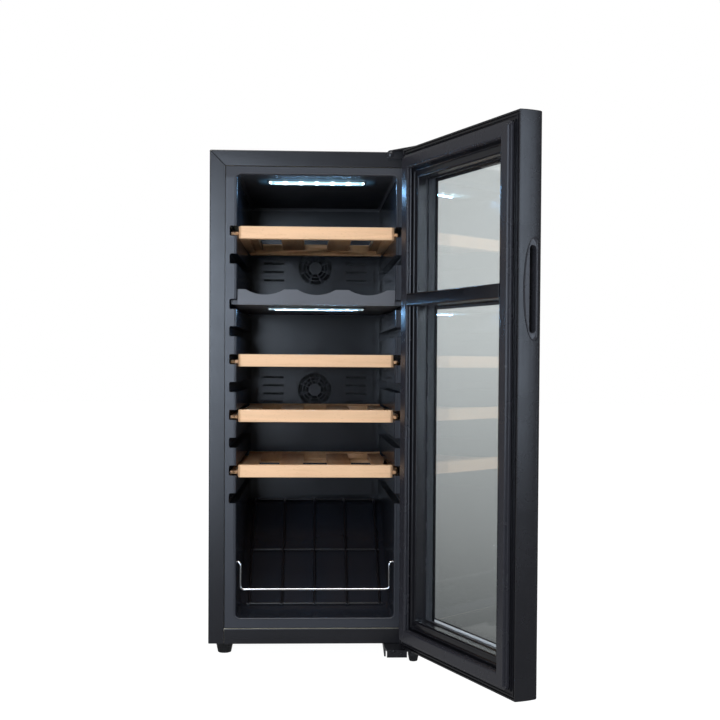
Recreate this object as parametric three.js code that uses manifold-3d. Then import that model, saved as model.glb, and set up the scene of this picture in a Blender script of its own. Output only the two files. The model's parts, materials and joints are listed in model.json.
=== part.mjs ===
// Free-standing two-zone wine cooler, 345 mm wide, with its glazed door standing open.
// Millimetres, +X to the right, +Y to the back, +Z up.
// Everything is placed about the cabinet: x = 0 is its middle, y = 0 its front flange and
// z = 0 its underside. The last lines move the object so that its origin is the centre of
// the bottom of its bounding box, on the floor.

import * as THREE from 'three'
import { mergeVertices } from 'three/addons/utils/BufferGeometryUtils.js'
import Module from 'manifold-3d'

const wasm = await Module()
wasm.setup()

// Cabinet
const HALF_WIDTH = 172.5
const HEIGHT = 798
const BODY_DEPTH = 453.6
const SHEET = 1.2
const GAP = 0.3
const FLANGE = 25.3
const STRIP_HEIGHT = 25
const FOOT_HEIGHT = 20

// Liner: the moulded inner tub, its opening and the step over the compressor bay
const OPEN_HALF = 130.8
const OPEN_BOTTOM = 41
const OPEN_TOP = 760.5
const OPEN_RADIUS = 9
const CAVITY_DEPTH = 410
const CAVITY_DRAFT = 6.8
const LINER_WALL = 3
const LINER_OUTER_HALF = 143
const SLOPE_START = [112, OPEN_BOTTOM]
const SLOPE_END = [320, 190]

// Channels in the side walls that carry the shelves, given by their upper edges
const CHANNEL_TOPS = [677, 632, 559, 515, 470, 425, 380, 335, 290, 245]
const CHANNEL_HEIGHT = 16.5
const CHANNEL_HALF = 140.2
const CHANNEL_DEPTH = 398

// Compressor bay, open below the foam at the back
const BAY_FRONT = 292
const BAY_TOP = 160

// Shelves
const SHELF_TOPS = [677, 470, 380, 290]
const RAIL_HEIGHT = 20
const RAIL_HALF = 126.2
const RAIL_FRONT = 8
const RAIL_BACK = 24
const RUNNER_HALF = 138.3
const BOTTLE_PITCH = 83.5
const BOARD_EDGES = [[-122, -98], [-60, -21], [21, 60], [98, 122]]
const BOARD_BOTTOM = 9
const BOARD_TOP = 17
const BACK_RAIL_FRONT = 300
const BACK_RAIL_BACK = 316

// Divider between the two zones, with its lamp below
const DIVIDER_BOTTOM = 550
const DIVIDER_TOP = 575

// Door, drawn closed and then turned about the hinge
const DOOR_BACK = -10.3
const DOOR_FRONT = -46.4
const DOOR_BOTTOM = 1.5
const DOOR_TOP = 796.5
const HINGE_X = 160.8
const HINGE_Y = -32.4
const DOOR_OPEN_DEGREES = 112.4
const PANE_HALF = 135
const WINDOW_HALF = 120.5

// ---------------------------------------------------------------- solids

function toManifold(geometry) {
  const bare = geometry.clone()
  bare.deleteAttribute('normal')
  bare.deleteAttribute('uv')
  const merged = mergeVertices(bare, 1e-4)
  const index = merged.index.array
  const triangles = []
  for (let i = 0; i < index.length; i += 3) {
    const [a, b, c] = index.slice(i, i + 3)
    if (a !== b && b !== c && c !== a) triangles.push(a, b, c)
  }
  return new wasm.Manifold(new wasm.Mesh({
    numProp: 3,
    vertProperties: new Float32Array(merged.attributes.position.array),
    triVerts: new Uint32Array(triangles)
  }))
}

function toGeometry(manifold) {
  const mesh = manifold.getMesh()
  const geometry = new THREE.BufferGeometry()
  geometry.setAttribute('position', new THREE.BufferAttribute(new Float32Array(mesh.vertProperties), 3))
  geometry.setIndex(new THREE.BufferAttribute(new Uint32Array(mesh.triVerts), 1))
  geometry.computeVertexNormals()
  return geometry
}

function join(...pieces) {
  return toGeometry(pieces.map(toManifold).reduce((whole, piece) => whole.add(piece)))
}

function cut(piece, ...tools) {
  return toGeometry(tools.map(toManifold).reduce((rest, tool) => rest.subtract(tool), toManifold(piece)))
}

function box([x0, x1], [y0, y1], [z0, z1]) {
  return new THREE.BoxGeometry(x1 - x0, y1 - y0, z1 - z0)
    .translate((x0 + x1) / 2, (y0 + y1) / 2, (z0 + z1) / 2)
}

function extrude(shape, depth, curveSegments) {
  return new THREE.ExtrudeGeometry(shape, { depth, curveSegments, bevelEnabled: false })
}

// An outline in x and z, run along y
function alongY(shape, y0, y1, curveSegments = 4) {
  return extrude(shape, y1 - y0, curveSegments).rotateX(Math.PI / 2).translate(0, y1, 0)
}

// An outline in y and z, run along x
function alongX(shape, x0, x1, curveSegments = 4) {
  const turn = new THREE.Matrix4().makeBasis(
    new THREE.Vector3(0, 1, 0), new THREE.Vector3(0, 0, 1), new THREE.Vector3(1, 0, 0))
  return extrude(shape, x1 - x0, curveSegments).applyMatrix4(turn).translate(x0, 0, 0)
}

// An outline in x and y, run along z
function alongZ(shape, z0, z1, curveSegments = 4) {
  return extrude(shape, z1 - z0, curveSegments).translate(0, 0, z0)
}

function polygon(points) {
  return new THREE.Shape(points.map(([u, v]) => new THREE.Vector2(u, v)))
}

function roundedRect(u0, u1, v0, v1, radius) {
  const shape = new THREE.Shape()
  shape.absarc(u1 - radius, v0 + radius, radius, -Math.PI / 2, 0)
  shape.absarc(u1 - radius, v1 - radius, radius, 0, Math.PI / 2)
  shape.absarc(u0 + radius, v1 - radius, radius, Math.PI / 2, Math.PI)
  shape.absarc(u0 + radius, v0 + radius, radius, Math.PI, 1.5 * Math.PI)
  return shape
}

function cylinderZ(x, y, z0, z1, radius, segments = 24, topRadius = radius) {
  return new THREE.CylinderGeometry(topRadius, radius, z1 - z0, segments)
    .rotateX(Math.PI / 2).translate(x, y, (z0 + z1) / 2)
}

function cylinderY(x, z, y0, y1, radius, segments = 24) {
  return new THREE.CylinderGeometry(radius, radius, y1 - y0, segments).translate(x, (y0 + y1) / 2, z)
}

function cylinderX(y, z, x0, x1, radius, segments = 24) {
  return new THREE.CylinderGeometry(radius, radius, x1 - x0, segments)
    .rotateZ(Math.PI / 2).translate((x0 + x1) / 2, y, z)
}

// A path of straight runs, with one station of the extrusion at each of its points
class Polyline extends THREE.Curve {
  constructor(points) {
    super()
    this.points = points
  }

  getPoint(t, target = new THREE.Vector3()) {
    const place = t * (this.points.length - 1)
    const i = Math.min(Math.floor(place), this.points.length - 2)
    return target.lerpVectors(this.points[i], this.points[i + 1], place - i)
  }

  getPointAt(u, target) {
    return this.getPoint(u, target)
  }

  getTangentAt(u, target) {
    return this.getTangent(u, target)
  }

  getSpacedPoints(divisions) {
    return this.getPoints(divisions)
  }
}

// A round wire or tube through straight runs with rounded corners
function wire(points, radius, cornerRadius) {
  const corners = points.map(p => new THREE.Vector3(...p))
  const stations = [corners[0]]
  for (let i = 1; i < corners.length - 1; i++) {
    const back = corners[i - 1].clone().sub(corners[i]).setLength(cornerRadius).add(corners[i])
    const ahead = corners[i + 1].clone().sub(corners[i]).setLength(cornerRadius).add(corners[i])
    const bend = new THREE.QuadraticBezierCurve3(back, corners[i], ahead)
    stations.push(back, bend.getPoint(0.5), ahead)
  }
  stations.push(corners.at(-1))
  const section = new THREE.Shape()
  section.absarc(0, 0, radius, 0, 2 * Math.PI)
  return new THREE.ExtrudeGeometry(section, {
    steps: stations.length - 1, extrudePath: new Polyline(stations), curveSegments: 4, bevelEnabled: false
  })
}

// ---------------------------------------------------------------- materials

function finish(color, roughness, metalness = 0, opacity = 1) {
  return new THREE.MeshStandardMaterial({ color, roughness, metalness, opacity, transparent: opacity < 1 })
}

const finishes = {
  paintedSteel: () => finish(0x26282d, 0.45, 0.2),
  liner: () => finish(0x1d1f24, 0.35),
  plastic: () => finish(0x1b1c20, 0.5),
  doorFrame: () => finish(0x2a2c31, 0.42),
  divider: () => finish(0x3a3c42, 0.5),
  gasket: () => finish(0x17181a, 0.6),
  beech: () => finish(0xe3b78a, 0.55),
  chrome: () => finish(0xcfd2d6, 0.12, 1),
  glass: () => finish(0x9aa1a3, 0.05, 0, 0.35),
  spacer: () => finish(0x8c8e91, 0.4, 0.8),
  galvanised: () => finish(0x8f9396, 0.5, 0.8),
  copper: () => finish(0xb06a40, 0.35, 0.9),
  foam: () => finish(0xd8cfae, 0.9),
  lamp: () => finish(0xe6f4ff, 0.3),
  rubber: () => finish(0x121213, 0.8)
}

function part(name, geometry, material) {
  const mesh = new THREE.Mesh(geometry, material)
  mesh.name = name
  return mesh
}

// ---------------------------------------------------------------- cabinet

function outerShell() {
  const inner = HALF_WIDTH - SHEET
  const foot = SHEET + GAP
  const wrapper = polygon([
    [-HALF_WIDTH, foot], [-inner, foot], [-inner, HEIGHT - SHEET], [inner, HEIGHT - SHEET],
    [inner, foot], [HALF_WIDTH, foot], [HALF_WIDTH, HEIGHT], [-HALF_WIDTH, HEIGHT]
  ])
  const edge = HALF_WIDTH - FLANGE
  const flange = polygon([
    [-HALF_WIDTH, foot], [-edge, foot], [-edge, HEIGHT - FLANGE], [edge, HEIGHT - FLANGE],
    [edge, foot], [HALF_WIDTH, foot], [HALF_WIDTH, HEIGHT], [-HALF_WIDTH, HEIGHT]
  ])
  return join(alongY(wrapper, 0, BODY_DEPTH), alongY(flange, 0, SHEET))
}

// The moulded cavity, a little narrower at the back than at the front
function cavity() {
  const mouth = roundedRect(-OPEN_HALF, OPEN_HALF, OPEN_BOTTOM, OPEN_TOP, OPEN_RADIUS)
  const hollow = alongY(mouth, -SHEET, CAVITY_DEPTH)
  const position = hollow.attributes.position
  for (let i = 0; i < position.count; i++) {
    const narrowing = (CAVITY_DRAFT / OPEN_HALF) * (position.getY(i) / CAVITY_DEPTH)
    position.setX(i, position.getX(i) * (1 - narrowing))
  }
  const step = polygon([
    [SLOPE_START[0], 0], [CAVITY_DEPTH + 10, 0], [CAVITY_DEPTH + 10, SLOPE_END[1]], SLOPE_END, SLOPE_START
  ])
  return cut(hollow, alongX(step, -HALF_WIDTH, HALF_WIDTH))
}

// Side view of the tub's outside, grown by the given amount
function tubOutline(grow) {
  const under = OPEN_BOTTOM - LINER_WALL - grow
  const back = CAVITY_DEPTH + LINER_WALL + grow
  const stepTop = SLOPE_END[1] - LINER_WALL - grow
  return polygon([
    [-grow, under], [SLOPE_START[0] - 1 + grow, under], [SLOPE_END[0] + 1 + grow, stepTop],
    [back, stepTop], [back, OPEN_TOP + LINER_WALL + grow], [-grow, OPEN_TOP + LINER_WALL + grow]
  ])
}

function innerLiner() {
  const inset = SHEET / 2
  const edge = HALF_WIDTH - FLANGE - GAP
  const frame = box([-edge, edge], [inset, inset + LINER_WALL],
    [STRIP_HEIGHT + GAP, HEIGHT - FLANGE - GAP])
  const front = box([-HALF_WIDTH, HALF_WIDTH], [-5, inset], [0, HEIGHT])
  const tub = cut(alongX(tubOutline(0), -LINER_OUTER_HALF, LINER_OUTER_HALF), front)
  const channels = CHANNEL_TOPS.map(top => box(
    [-CHANNEL_HALF, CHANNEL_HALF], [-SHEET, CHANNEL_DEPTH], [top - CHANNEL_HEIGHT, top]))
  return cut(join(tub, frame), cavity(), ...channels)
}

function insulationFoam() {
  const half = HALF_WIDTH - SHEET - GAP
  const block = box([-half, half], [SHEET + GAP, BODY_DEPTH - 3], [2, HEIGHT - SHEET - GAP])
  const tub = alongX(tubOutline(GAP), -LINER_OUTER_HALF - GAP, LINER_OUTER_HALF + GAP)
  const edge = HALF_WIDTH - FLANGE
  const frame = box([-edge, edge], [0, SHEET / 2 + LINER_WALL + GAP], [STRIP_HEIGHT, HEIGHT - FLANGE])
  const bay = polygon([
    [BAY_FRONT, -5], [BODY_DEPTH, -5], [BODY_DEPTH, BAY_TOP],
    [BAY_FRONT + 48, BAY_TOP], [BAY_FRONT, BAY_TOP - 34]
  ])
  return cut(block, tub, frame, alongX(bay, -HALF_WIDTH, HALF_WIDTH))
}

function bayPanel() {
  const half = HALF_WIDTH - SHEET - GAP
  const front = BAY_FRONT + GAP
  const top = BAY_TOP - GAP
  const back = BODY_DEPTH - 3
  return alongX(polygon([
    [front, 2], [front + SHEET, 2], [front + SHEET, top - 34.6], [front + 48.4, top - SHEET],
    [back, top - SHEET], [back, top], [front + 48, top], [front, top - 34]
  ]), -half, half)
}

function bottomStrip() {
  const half = HALF_WIDTH - FLANGE - GAP
  return box([-half, half], [0, SHEET], [0, STRIP_HEIGHT - GAP])
}

function basePlate() {
  const half = HALF_WIDTH - GAP
  return box([-half, half], [2 * SHEET, BODY_DEPTH - 1.5], [0, SHEET])
}

function rearPanel() {
  const half = HALF_WIDTH - SHEET - GAP
  const rear = BODY_DEPTH - 1.4
  const sheet = box([-half, half], [rear - SHEET, rear], [BAY_TOP + 2, HEIGHT - SHEET - GAP])
  const ribs = [-75, 75].map(x => box([x - 30, x + 30], [rear - 0.1, rear + 1.2], [220, 740]))
  return join(sheet, ...ribs)
}

const INLET = { x: 130, z: 34 }

function bayCover() {
  const half = HALF_WIDTH - SHEET - GAP
  const rear = BODY_DEPTH - 1.4
  const slots = []
  for (const x of [-110, 0, 110]) {
    for (let z = 66; z < 150; z += 14) {
      slots.push(box([x - 42, x + 42], [rear - 5, rear + 5], [z, z + 6]))
    }
  }
  const inletHole = box(
    [INLET.x - 14, INLET.x + 14], [rear - 5, rear + 5], [INLET.z - 10.5, INLET.z + 10.5])
  return cut(box([-half, half], [rear - SHEET, rear], [2, BAY_TOP + 1.7]), ...slots, inletHole)
}

function cabinet() {
  const group = new THREE.Group()
  group.add(
    part('outer_shell', outerShell(), finishes.paintedSteel()),
    part('inner_liner', innerLiner(), finishes.liner()),
    part('insulation_foam', insulationFoam(), finishes.foam()),
    part('bay_panel', bayPanel(), finishes.galvanised()),
    part('bottom_front_strip', bottomStrip(), finishes.paintedSteel()),
    part('base_plate', basePlate(), finishes.paintedSteel()),
    part('rear_panel', rearPanel(), finishes.paintedSteel()),
    part('bay_cover', bayCover(), finishes.paintedSteel()))
  return group
}

// ---------------------------------------------------------------- cooling

const COMPRESSOR = { x: 62, y: 372 }
const BAY_FAN = { y: 372, z: 66 }

function compressor() {
  const profile = [[0, 16], [40, 16], [50, 24], [52, 62], [52, 72], [50, 104], [38, 118], [0, 122]]
  const pot = new THREE.LatheGeometry(profile.map(([r, z]) => new THREE.Vector2(r, z)), 24)
    .rotateX(Math.PI / 2).translate(COMPRESSOR.x, COMPRESSOR.y, 0)
  const terminals = box(
    [COMPRESSOR.x + 40, COMPRESSOR.x + 62], [COMPRESSOR.y - 16, COMPRESSOR.y + 16], [44, 82])
  return join(pot, terminals)
}

function compressorBase() {
  const plate = box(
    [COMPRESSOR.x - 62, COMPRESSOR.x + 62], [COMPRESSOR.y - 40, COMPRESSOR.y + 40], [12, 14.5])
  const grommets = [[-1, -1], [-1, 1], [1, -1], [1, 1]].map(([a, b]) =>
    cylinderZ(COMPRESSOR.x + 52 * a, COMPRESSOR.y + 30 * b, SHEET + GAP, 12.2, 8, 16))
  return join(plate, ...grommets)
}

function condenser() {
  const points = []
  const rows = [30, 52, 74, 96, 118]
  rows.forEach((z, row) => {
    const ends = row % 2 === 0 ? [320, 432] : [432, 320]
    points.push([-110, ends[0], z], [-110, ends[1], z])
  })
  const fins = []
  for (let y = 350; y <= 402; y += 26) fins.push(box([-134, -86], [y, y + 1], [22, 126]))
  return join(wire(points, 3.5, 7), ...fins)
}

function bayFanShroud() {
  const { y, z } = BAY_FAN
  const frame = cut(box([-54, -30], [y - 50, y + 50], [z - 50, z + 50]), cylinderX(y, z, -60, -20, 46, 32))
  const bars = [
    box([-54, -51], [y - 48, y + 48], [z - 3, z + 3]),
    box([-54, -51], [y - 3, y + 3], [z - 48, z + 48])
  ]
  const motor = cylinderX(y, z, -54, -49.4, 14, 20)
  const foot = box([-54, -30], [y - 50, y + 50], [SHEET + GAP, z - 49])
  return join(frame, ...bars, motor, foot)
}

// Fan rotor with pitched blades about the y axis, centred on the origin
function rotor(radius, hub, width, count) {
  const pieces = [cylinderY(0, 0, -width / 2, width / 2, hub, 16)]
  for (let i = 0; i < count; i++) {
    const blade = box([hub - 2, radius], [-0.9, 0.9], [-hub * 0.75, hub * 0.75])
      .rotateX(0.45).rotateY((2 * Math.PI * i) / count)
    pieces.push(blade)
  }
  return join(...pieces)
}

function evaporationTray() {
  const outer = box(
    [COMPRESSOR.x - 45, COMPRESSOR.x + 45], [COMPRESSOR.y - 40, COMPRESSOR.y + 40], [124, 144])
  const inner = box(
    [COMPRESSOR.x - 43, COMPRESSOR.x + 43], [COMPRESSOR.y - 38, COMPRESSOR.y + 38], [126, 150])
  return cut(outer, inner)
}

function controlBox() {
  const lid = box([136, 166], [318, 424], [60, 134])
  const bracket = box([150, 166], [330, 412], [SHEET + GAP, 61])
  return join(lid, bracket)
}

function mainsInlet() {
  const rear = BODY_DEPTH - 1.4
  const { x, z } = INLET
  const flange = box([x - 19, x + 19], [rear + GAP, rear + 1.3], [z - 13, z + 13])
  const shell = box([x - 13.5, x + 13.5], [rear - 18, rear + 1], [z - 10, z + 10])
  const socket = box([x - 11.5, x + 11.5], [rear - 15, rear + 5], [z - 8, z + 8])
  const pins = [-7, 0, 7].map(dx => box([x + dx - 1, x + dx + 1], [rear - 16, rear - 4], [z - 2, z + 2]))
  return join(cut(join(flange, shell), socket), ...pins)
}

function coolingSystem() {
  const bayFan = part('condenser_fan', rotor(43, 14, 18, 5), finishes.plastic())
  bayFan.rotation.z = Math.PI / 2
  bayFan.position.set(-40, BAY_FAN.y, BAY_FAN.z)
  const group = new THREE.Group()
  group.add(
    part('compressor', compressor(), finishes.paintedSteel()),
    part('compressor_base', compressorBase(), finishes.galvanised()),
    part('condenser', condenser(), finishes.copper()),
    part('condenser_fan_shroud', bayFanShroud(), finishes.plastic()),
    bayFan,
    part('evaporation_tray', evaporationTray(), finishes.plastic()),
    part('control_box', controlBox(), finishes.plastic()),
    part('mains_inlet', mainsInlet(), finishes.plastic()))
  return group
}

// ---------------------------------------------------------------- inside the tub

const DUCT_FRONT = 386
const DUCT_BACK = CAVITY_DEPTH - GAP
const DUCT_FAN_RADIUS = 34

// Cover over an evaporator: a shallow tray with a fan grille and outlet slots
function ductPanel(z0, z1, fanZ) {
  const skin = 2
  const body = cut(
    box([-112, 112], [DUCT_FRONT, DUCT_BACK], [z0, z1]),
    box([-112 + skin, 112 - skin], [DUCT_FRONT + skin, DUCT_BACK + 1], [z0 + skin, z1 - skin]),
    cylinderY(0, fanZ, DUCT_FRONT - 1, DUCT_FRONT + 5, DUCT_FAN_RADIUS - 1, 32))
  const outlets = [-80, 80].flatMap(x => [-24, -8, 8, 24].map(dz =>
    box([x - 20, x + 20], [DUCT_FRONT - 1, DUCT_FRONT + 5], [fanZ + dz - 2, fanZ + dz + 2])))
  const grille = [-20, 0, 20].flatMap(offset => [
    box([-DUCT_FAN_RADIUS, DUCT_FAN_RADIUS], [DUCT_FRONT, DUCT_FRONT + skin],
      [fanZ + offset - 1, fanZ + offset + 1]),
    box([offset - 1, offset + 1], [DUCT_FRONT, DUCT_FRONT + skin],
      [fanZ - DUCT_FAN_RADIUS, fanZ + DUCT_FAN_RADIUS])
  ])
  const motor = cylinderY(0, fanZ, DUCT_FRONT, DUCT_FRONT + 3.6, 11, 20)
  return join(cut(body, ...outlets), ...grille, motor)
}

function evaporator(z0, z1) {
  const plate = box([-104, 104], [404, 405.5], [z0, z1])
  const fins = []
  for (let x = -96; x <= 96; x += 24) fins.push(box([x, x + 1.5], [402, 407.5], [z0 + 4, z1 - 4]))
  return join(plate, ...fins)
}

const UPPER_FAN_Z = 640
const LOWER_FAN_Z = 405

function ductFan(name, z) {
  const fan = part(name, rotor(DUCT_FAN_RADIUS - 3, 10, 9, 6), finishes.plastic())
  fan.position.set(0, DUCT_FRONT + 8.5, z)
  return fan
}

function lampHousing(ceiling) {
  return box([-83, 83], [57, 88], [ceiling - 2.5, ceiling - GAP])
}

function lampLens(ceiling) {
  return alongZ(roundedRect(-79.6, 79.6, 60, 84, 3), ceiling - 5.5, ceiling - 2.8)
}

// A board's front outline with three shallow hollows for bottles in its upper edge
function hollowedBoard(half, bottom, top, hollowHalf, hollowDepth) {
  const radius = (hollowHalf ** 2 + hollowDepth ** 2) / (2 * hollowDepth)
  const swing = Math.asin(hollowHalf / radius)
  const shape = new THREE.Shape()
  shape.moveTo(-half, bottom)
  shape.lineTo(half, bottom)
  shape.lineTo(half, top)
  for (const x of [BOTTLE_PITCH, 0, -BOTTLE_PITCH]) {
    shape.absarc(x, top + radius - hollowDepth, radius, swing - Math.PI / 2, -swing - Math.PI / 2, true)
  }
  shape.lineTo(-half, top)
  return shape
}

function zoneDivider() {
  const board = alongY(hollowedBoard(124, DIVIDER_BOTTOM, DIVIDER_TOP, 30, 8.4), 6, DUCT_FRONT - 1)
  const cheeks = [-1, 1].map(side => {
    const inner = side * 123
    const frontOuter = side * (OPEN_HALF - 2.4)
    const backOuter = side * (OPEN_HALF - CAVITY_DRAFT - 0.4)
    const outline = polygon([
      [inner, 6], [frontOuter, 6], [backOuter, DUCT_FRONT - 40], [inner, DUCT_FRONT - 40]
    ])
    return alongZ(outline, DIVIDER_BOTTOM, DIVIDER_TOP)
  })
  const tongues = box([-RUNNER_HALF, RUNNER_HALF], [14, 330], [DIVIDER_BOTTOM + 0.5, DIVIDER_BOTTOM + 7.5])
  return join(board, ...cheeks, tongues)
}

function interior() {
  const group = new THREE.Group()
  group.add(
    part('zone_divider', zoneDivider(), finishes.divider()),
    part('upper_duct_panel', ductPanel(DIVIDER_TOP + 6, 742, UPPER_FAN_Z), finishes.liner()),
    part('lower_duct_panel', ductPanel(200, DIVIDER_BOTTOM - 8, LOWER_FAN_Z), finishes.liner()),
    part('upper_evaporator', evaporator(592, 732), finishes.galvanised()),
    part('lower_evaporator', evaporator(212, 532), finishes.galvanised()),
    ductFan('upper_duct_fan', UPPER_FAN_Z),
    ductFan('lower_duct_fan', LOWER_FAN_Z),
    part('upper_lamp_housing', lampHousing(OPEN_TOP), finishes.plastic()),
    part('upper_lamp_lens', lampLens(OPEN_TOP), finishes.lamp()),
    part('lower_lamp_housing', lampHousing(DIVIDER_BOTTOM), finishes.plastic()),
    part('lower_lamp_lens', lampLens(DIVIDER_BOTTOM), finishes.lamp()),
    part('bottle_stop_wire', bottleStopWire(), finishes.chrome()),
    part('bottle_rest_rack', bottleRestRack(), finishes.paintedSteel()))
  return group
}

function bottleStopWire() {
  const hook = OPEN_HALF - 1.2
  const side = 121.5
  return wire([
    [-hook, 16, 131], [-side, 14, 131], [-side, 12, 86.5],
    [side, 12, 86.5], [side, 14, 131], [hook, 16, 131]
  ], 2, 5)
}

// Wire rack that lies on the sloping floor and carries the leaning bottles
function bottleRestRack() {
  const lift = 5
  const wires = [-112, -56, 0, 56, 112].map(x => wire([
    [x, 92, OPEN_BOTTOM + lift], [x, SLOPE_START[0] - 2, OPEN_BOTTOM + lift],
    [x, SLOPE_END[0] - 2, SLOPE_END[1] + lift], [x, 360, SLOPE_END[1] + lift]
  ], 2, 8))
  const bars = [
    [98, OPEN_BOTTOM + lift],
    [(SLOPE_START[0] + SLOPE_END[0]) / 2 - 2, (SLOPE_START[1] + SLOPE_END[1]) / 2 + lift],
    [355, SLOPE_END[1] + lift]
  ]
  return join(...wires, ...bars.map(([y, z]) => cylinderX(y, z, -116, 116, 1.9, 8)))
}

// ---------------------------------------------------------------- shelves

// Beech trim across the front of a shelf, with its ends cut off at a slant
function shelfRail() {
  const slant = 4
  return alongZ(polygon([
    [-RAIL_HALF + slant, RAIL_FRONT], [RAIL_HALF - slant, RAIL_FRONT], [RAIL_HALF, RAIL_FRONT + slant],
    [RAIL_HALF, RAIL_BACK], [-RAIL_HALF, RAIL_BACK], [-RAIL_HALF, RAIL_FRONT + slant]
  ]), 0, RAIL_HEIGHT)
}

// Runners, back rail and the boards from front to back, with the bottles lying in their gaps.
// A runner's front end is a tongue beside the rail, thinned from below. On the hinge side its
// outer edge starts further back, so the shelf passes the door's seal
function shelfRack() {
  const bottom = RAIL_HEIGHT - CHANNEL_HEIGHT + GAP
  const top = bottom + 6.8
  const narrow = 131.4
  const inner = 112
  const front = 11
  const end = 330
  const runners = [[-1, front + 1], [1, 66]].map(([side, broadFrom]) => alongZ(polygon([
    [side * inner, RAIL_BACK + GAP], [side * (RAIL_HALF + GAP), RAIL_BACK + GAP],
    [side * (RAIL_HALF + GAP), front], [side * narrow, front], [side * narrow, broadFrom],
    [side * RUNNER_HALF, broadFrom], [side * RUNNER_HALF, end], [side * inner, end]
  ]), bottom, top))
  const thinning = alongX(polygon([
    [front - 1, bottom - 1], [RAIL_BACK + 2, bottom - 1], [RAIL_BACK, bottom + 2], [front - 1, bottom + 2]
  ]), -RUNNER_HALF - 1, RUNNER_HALF + 1)
  const boards = BOARD_EDGES.map(edges =>
    box(edges, [RAIL_BACK + GAP, BACK_RAIL_FRONT + 1], [BOARD_BOTTOM, BOARD_TOP]))
  const backRail = box([-122, 122], [BACK_RAIL_FRONT, BACK_RAIL_BACK], [0, RAIL_HEIGHT])
  return join(cut(join(...runners), thinning), ...boards, backRail)
}

function shelves() {
  const group = new THREE.Group()
  SHELF_TOPS.forEach((top, i) => {
    const shelf = new THREE.Group()
    shelf.position.z = top - RAIL_HEIGHT
    shelf.add(
      part(`shelf_${i + 1}_front_rail`, shelfRail(), finishes.beech()),
      part(`shelf_${i + 1}_rack`, shelfRack(), finishes.beech()))
    group.add(shelf)
  })
  return group
}

// ---------------------------------------------------------------- door

// A rectangular ring about the door's middle, from an outer to an inner inset
function doorRing(outer, inner, y0, y1, radius = 0) {
  const rect = inset => {
    const sides = [-HALF_WIDTH + inset, HALF_WIDTH - inset, DOOR_BOTTOM + inset, DOOR_TOP - inset]
    if (radius > 0) return roundedRect(...sides, radius)
    const [u0, u1, v0, v1] = sides
    return polygon([[u0, v0], [u1, v0], [u1, v1], [u0, v1]])
  }
  const shape = rect(outer)
  shape.holes.push(rect(inner))
  return alongY(shape, y0, y1, 3)
}

const GLAZING_BACK = -28.6
const FRAME_BACK = GLAZING_BACK + GAP
const PANE = 4
const GRIP = { bottom: 498, top: 616, front: -38, back: -27.5, depth: 16 }

function slotOutline(grow) {
  return roundedRect(GRIP.front - grow, GRIP.back + grow, GRIP.bottom - grow, GRIP.top + grow, 4.5 + grow)
}

// D-shaped surround of the grip, straight towards the door's front
function gripOutline(grow) {
  const middle = (GRIP.bottom + GRIP.top) / 2
  const half = 70 + grow
  const straight = GRIP.front - 3 - grow
  const shape = new THREE.Shape()
  shape.moveTo(straight, middle - half + 5)
  shape.lineTo(straight + 5, middle - half)
  shape.bezierCurveTo(-23 + grow, middle - half, -17.5 + grow, middle - 34, -17.5 + grow, middle)
  shape.bezierCurveTo(-17.5 + grow, middle + 34, -23 + grow, middle + half, straight + 5, middle + half)
  shape.lineTo(straight, middle + half - 5)
  return shape
}

// Room for the two hinge bushes
function bushPockets() {
  return [
    cylinderZ(HINGE_X, HINGE_Y, 0, DOOR_BOTTOM + 18, 6.8),
    cylinderZ(HINGE_X, HINGE_Y, DOOR_TOP - 18, DOOR_TOP + 2, 6.8)
  ]
}

// Room for the grip's cup and its walls
function gripCup(depth) {
  return alongX(slotOutline(1.8), -HALF_WIDTH - 1, -HALF_WIDTH + depth, 4)
}

function doorFrame() {
  const ledge = HALF_WIDTH - PANE_HALF - GAP
  const round = 4
  const section = join(
    doorRing(0, 14.5, DOOR_FRONT + round, -41.7),
    doorRing(1.2, 14.5, DOOR_FRONT + 1.2, DOOR_FRONT + round + 0.1),
    doorRing(round, 14.5, DOOR_FRONT, DOOR_FRONT + 1.3),
    doorRing(0, ledge, -41.8, GLAZING_BACK),
    doorRing(0, 3, GLAZING_BACK - 0.1, DOOR_BACK))
  const face = -HALF_WIDTH
  return cut(section,
    alongX(gripOutline(GAP), face - 1, face + 2.8, 8),
    gripCup(GRIP.depth + 2),
    ...bushPockets())
}

function handleInsert() {
  const face = -HALF_WIDTH
  return cut(
    join(
      alongX(gripOutline(0), face, face + 2.5, 8),
      alongX(slotOutline(1.5), face, face + GRIP.depth + 1.7, 4)),
    alongX(slotOutline(0), face - 1, face + GRIP.depth, 4))
}

function doorInnerFrame() {
  const groove = doorRing(20.5, 28.5, DOOR_BACK - 4, DOOR_BACK + 1)
  const ring = doorRing(3.3, HALF_WIDTH - WINDOW_HALF, FRAME_BACK, DOOR_BACK)
  return cut(ring, groove, gripCup(GRIP.depth + 2), ...bushPockets())
}

// Magnetic seal: a ribbed foot in the frame's groove and a soft hollow bellows above it
function doorGasket() {
  const foot = doorRing(22, 27, DOOR_BACK - 3.7, DOOR_BACK + 1)
  const body = doorRing(16.5, 35, DOOR_BACK + GAP, -GAP, 4)
  return join(body, foot)
}

function doorGlass(half, y0, y1) {
  const inset = HALF_WIDTH - half
  return alongY(roundedRect(-half, half, DOOR_BOTTOM + inset, DOOR_TOP - inset, 2), y0, y1, 2)
}

function mullionBar() {
  return join(
    box([-WINDOW_HALF + GAP, WINDOW_HALF - GAP], [GLAZING_BACK + GAP, -9], [545.5, 566.5]),
    box([-137.2, 137.2], [DOOR_BACK + GAP, -0.5], [545.5, 566.5]))
}

function hingeBush(z0, z1) {
  const bore = cylinderZ(HINGE_X, HINGE_Y, z0 - 1, z1 + 1, 4.4)
  return cut(cylinderZ(HINGE_X, HINGE_Y, z0, z1, 6.5, 20), bore)
}

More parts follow.
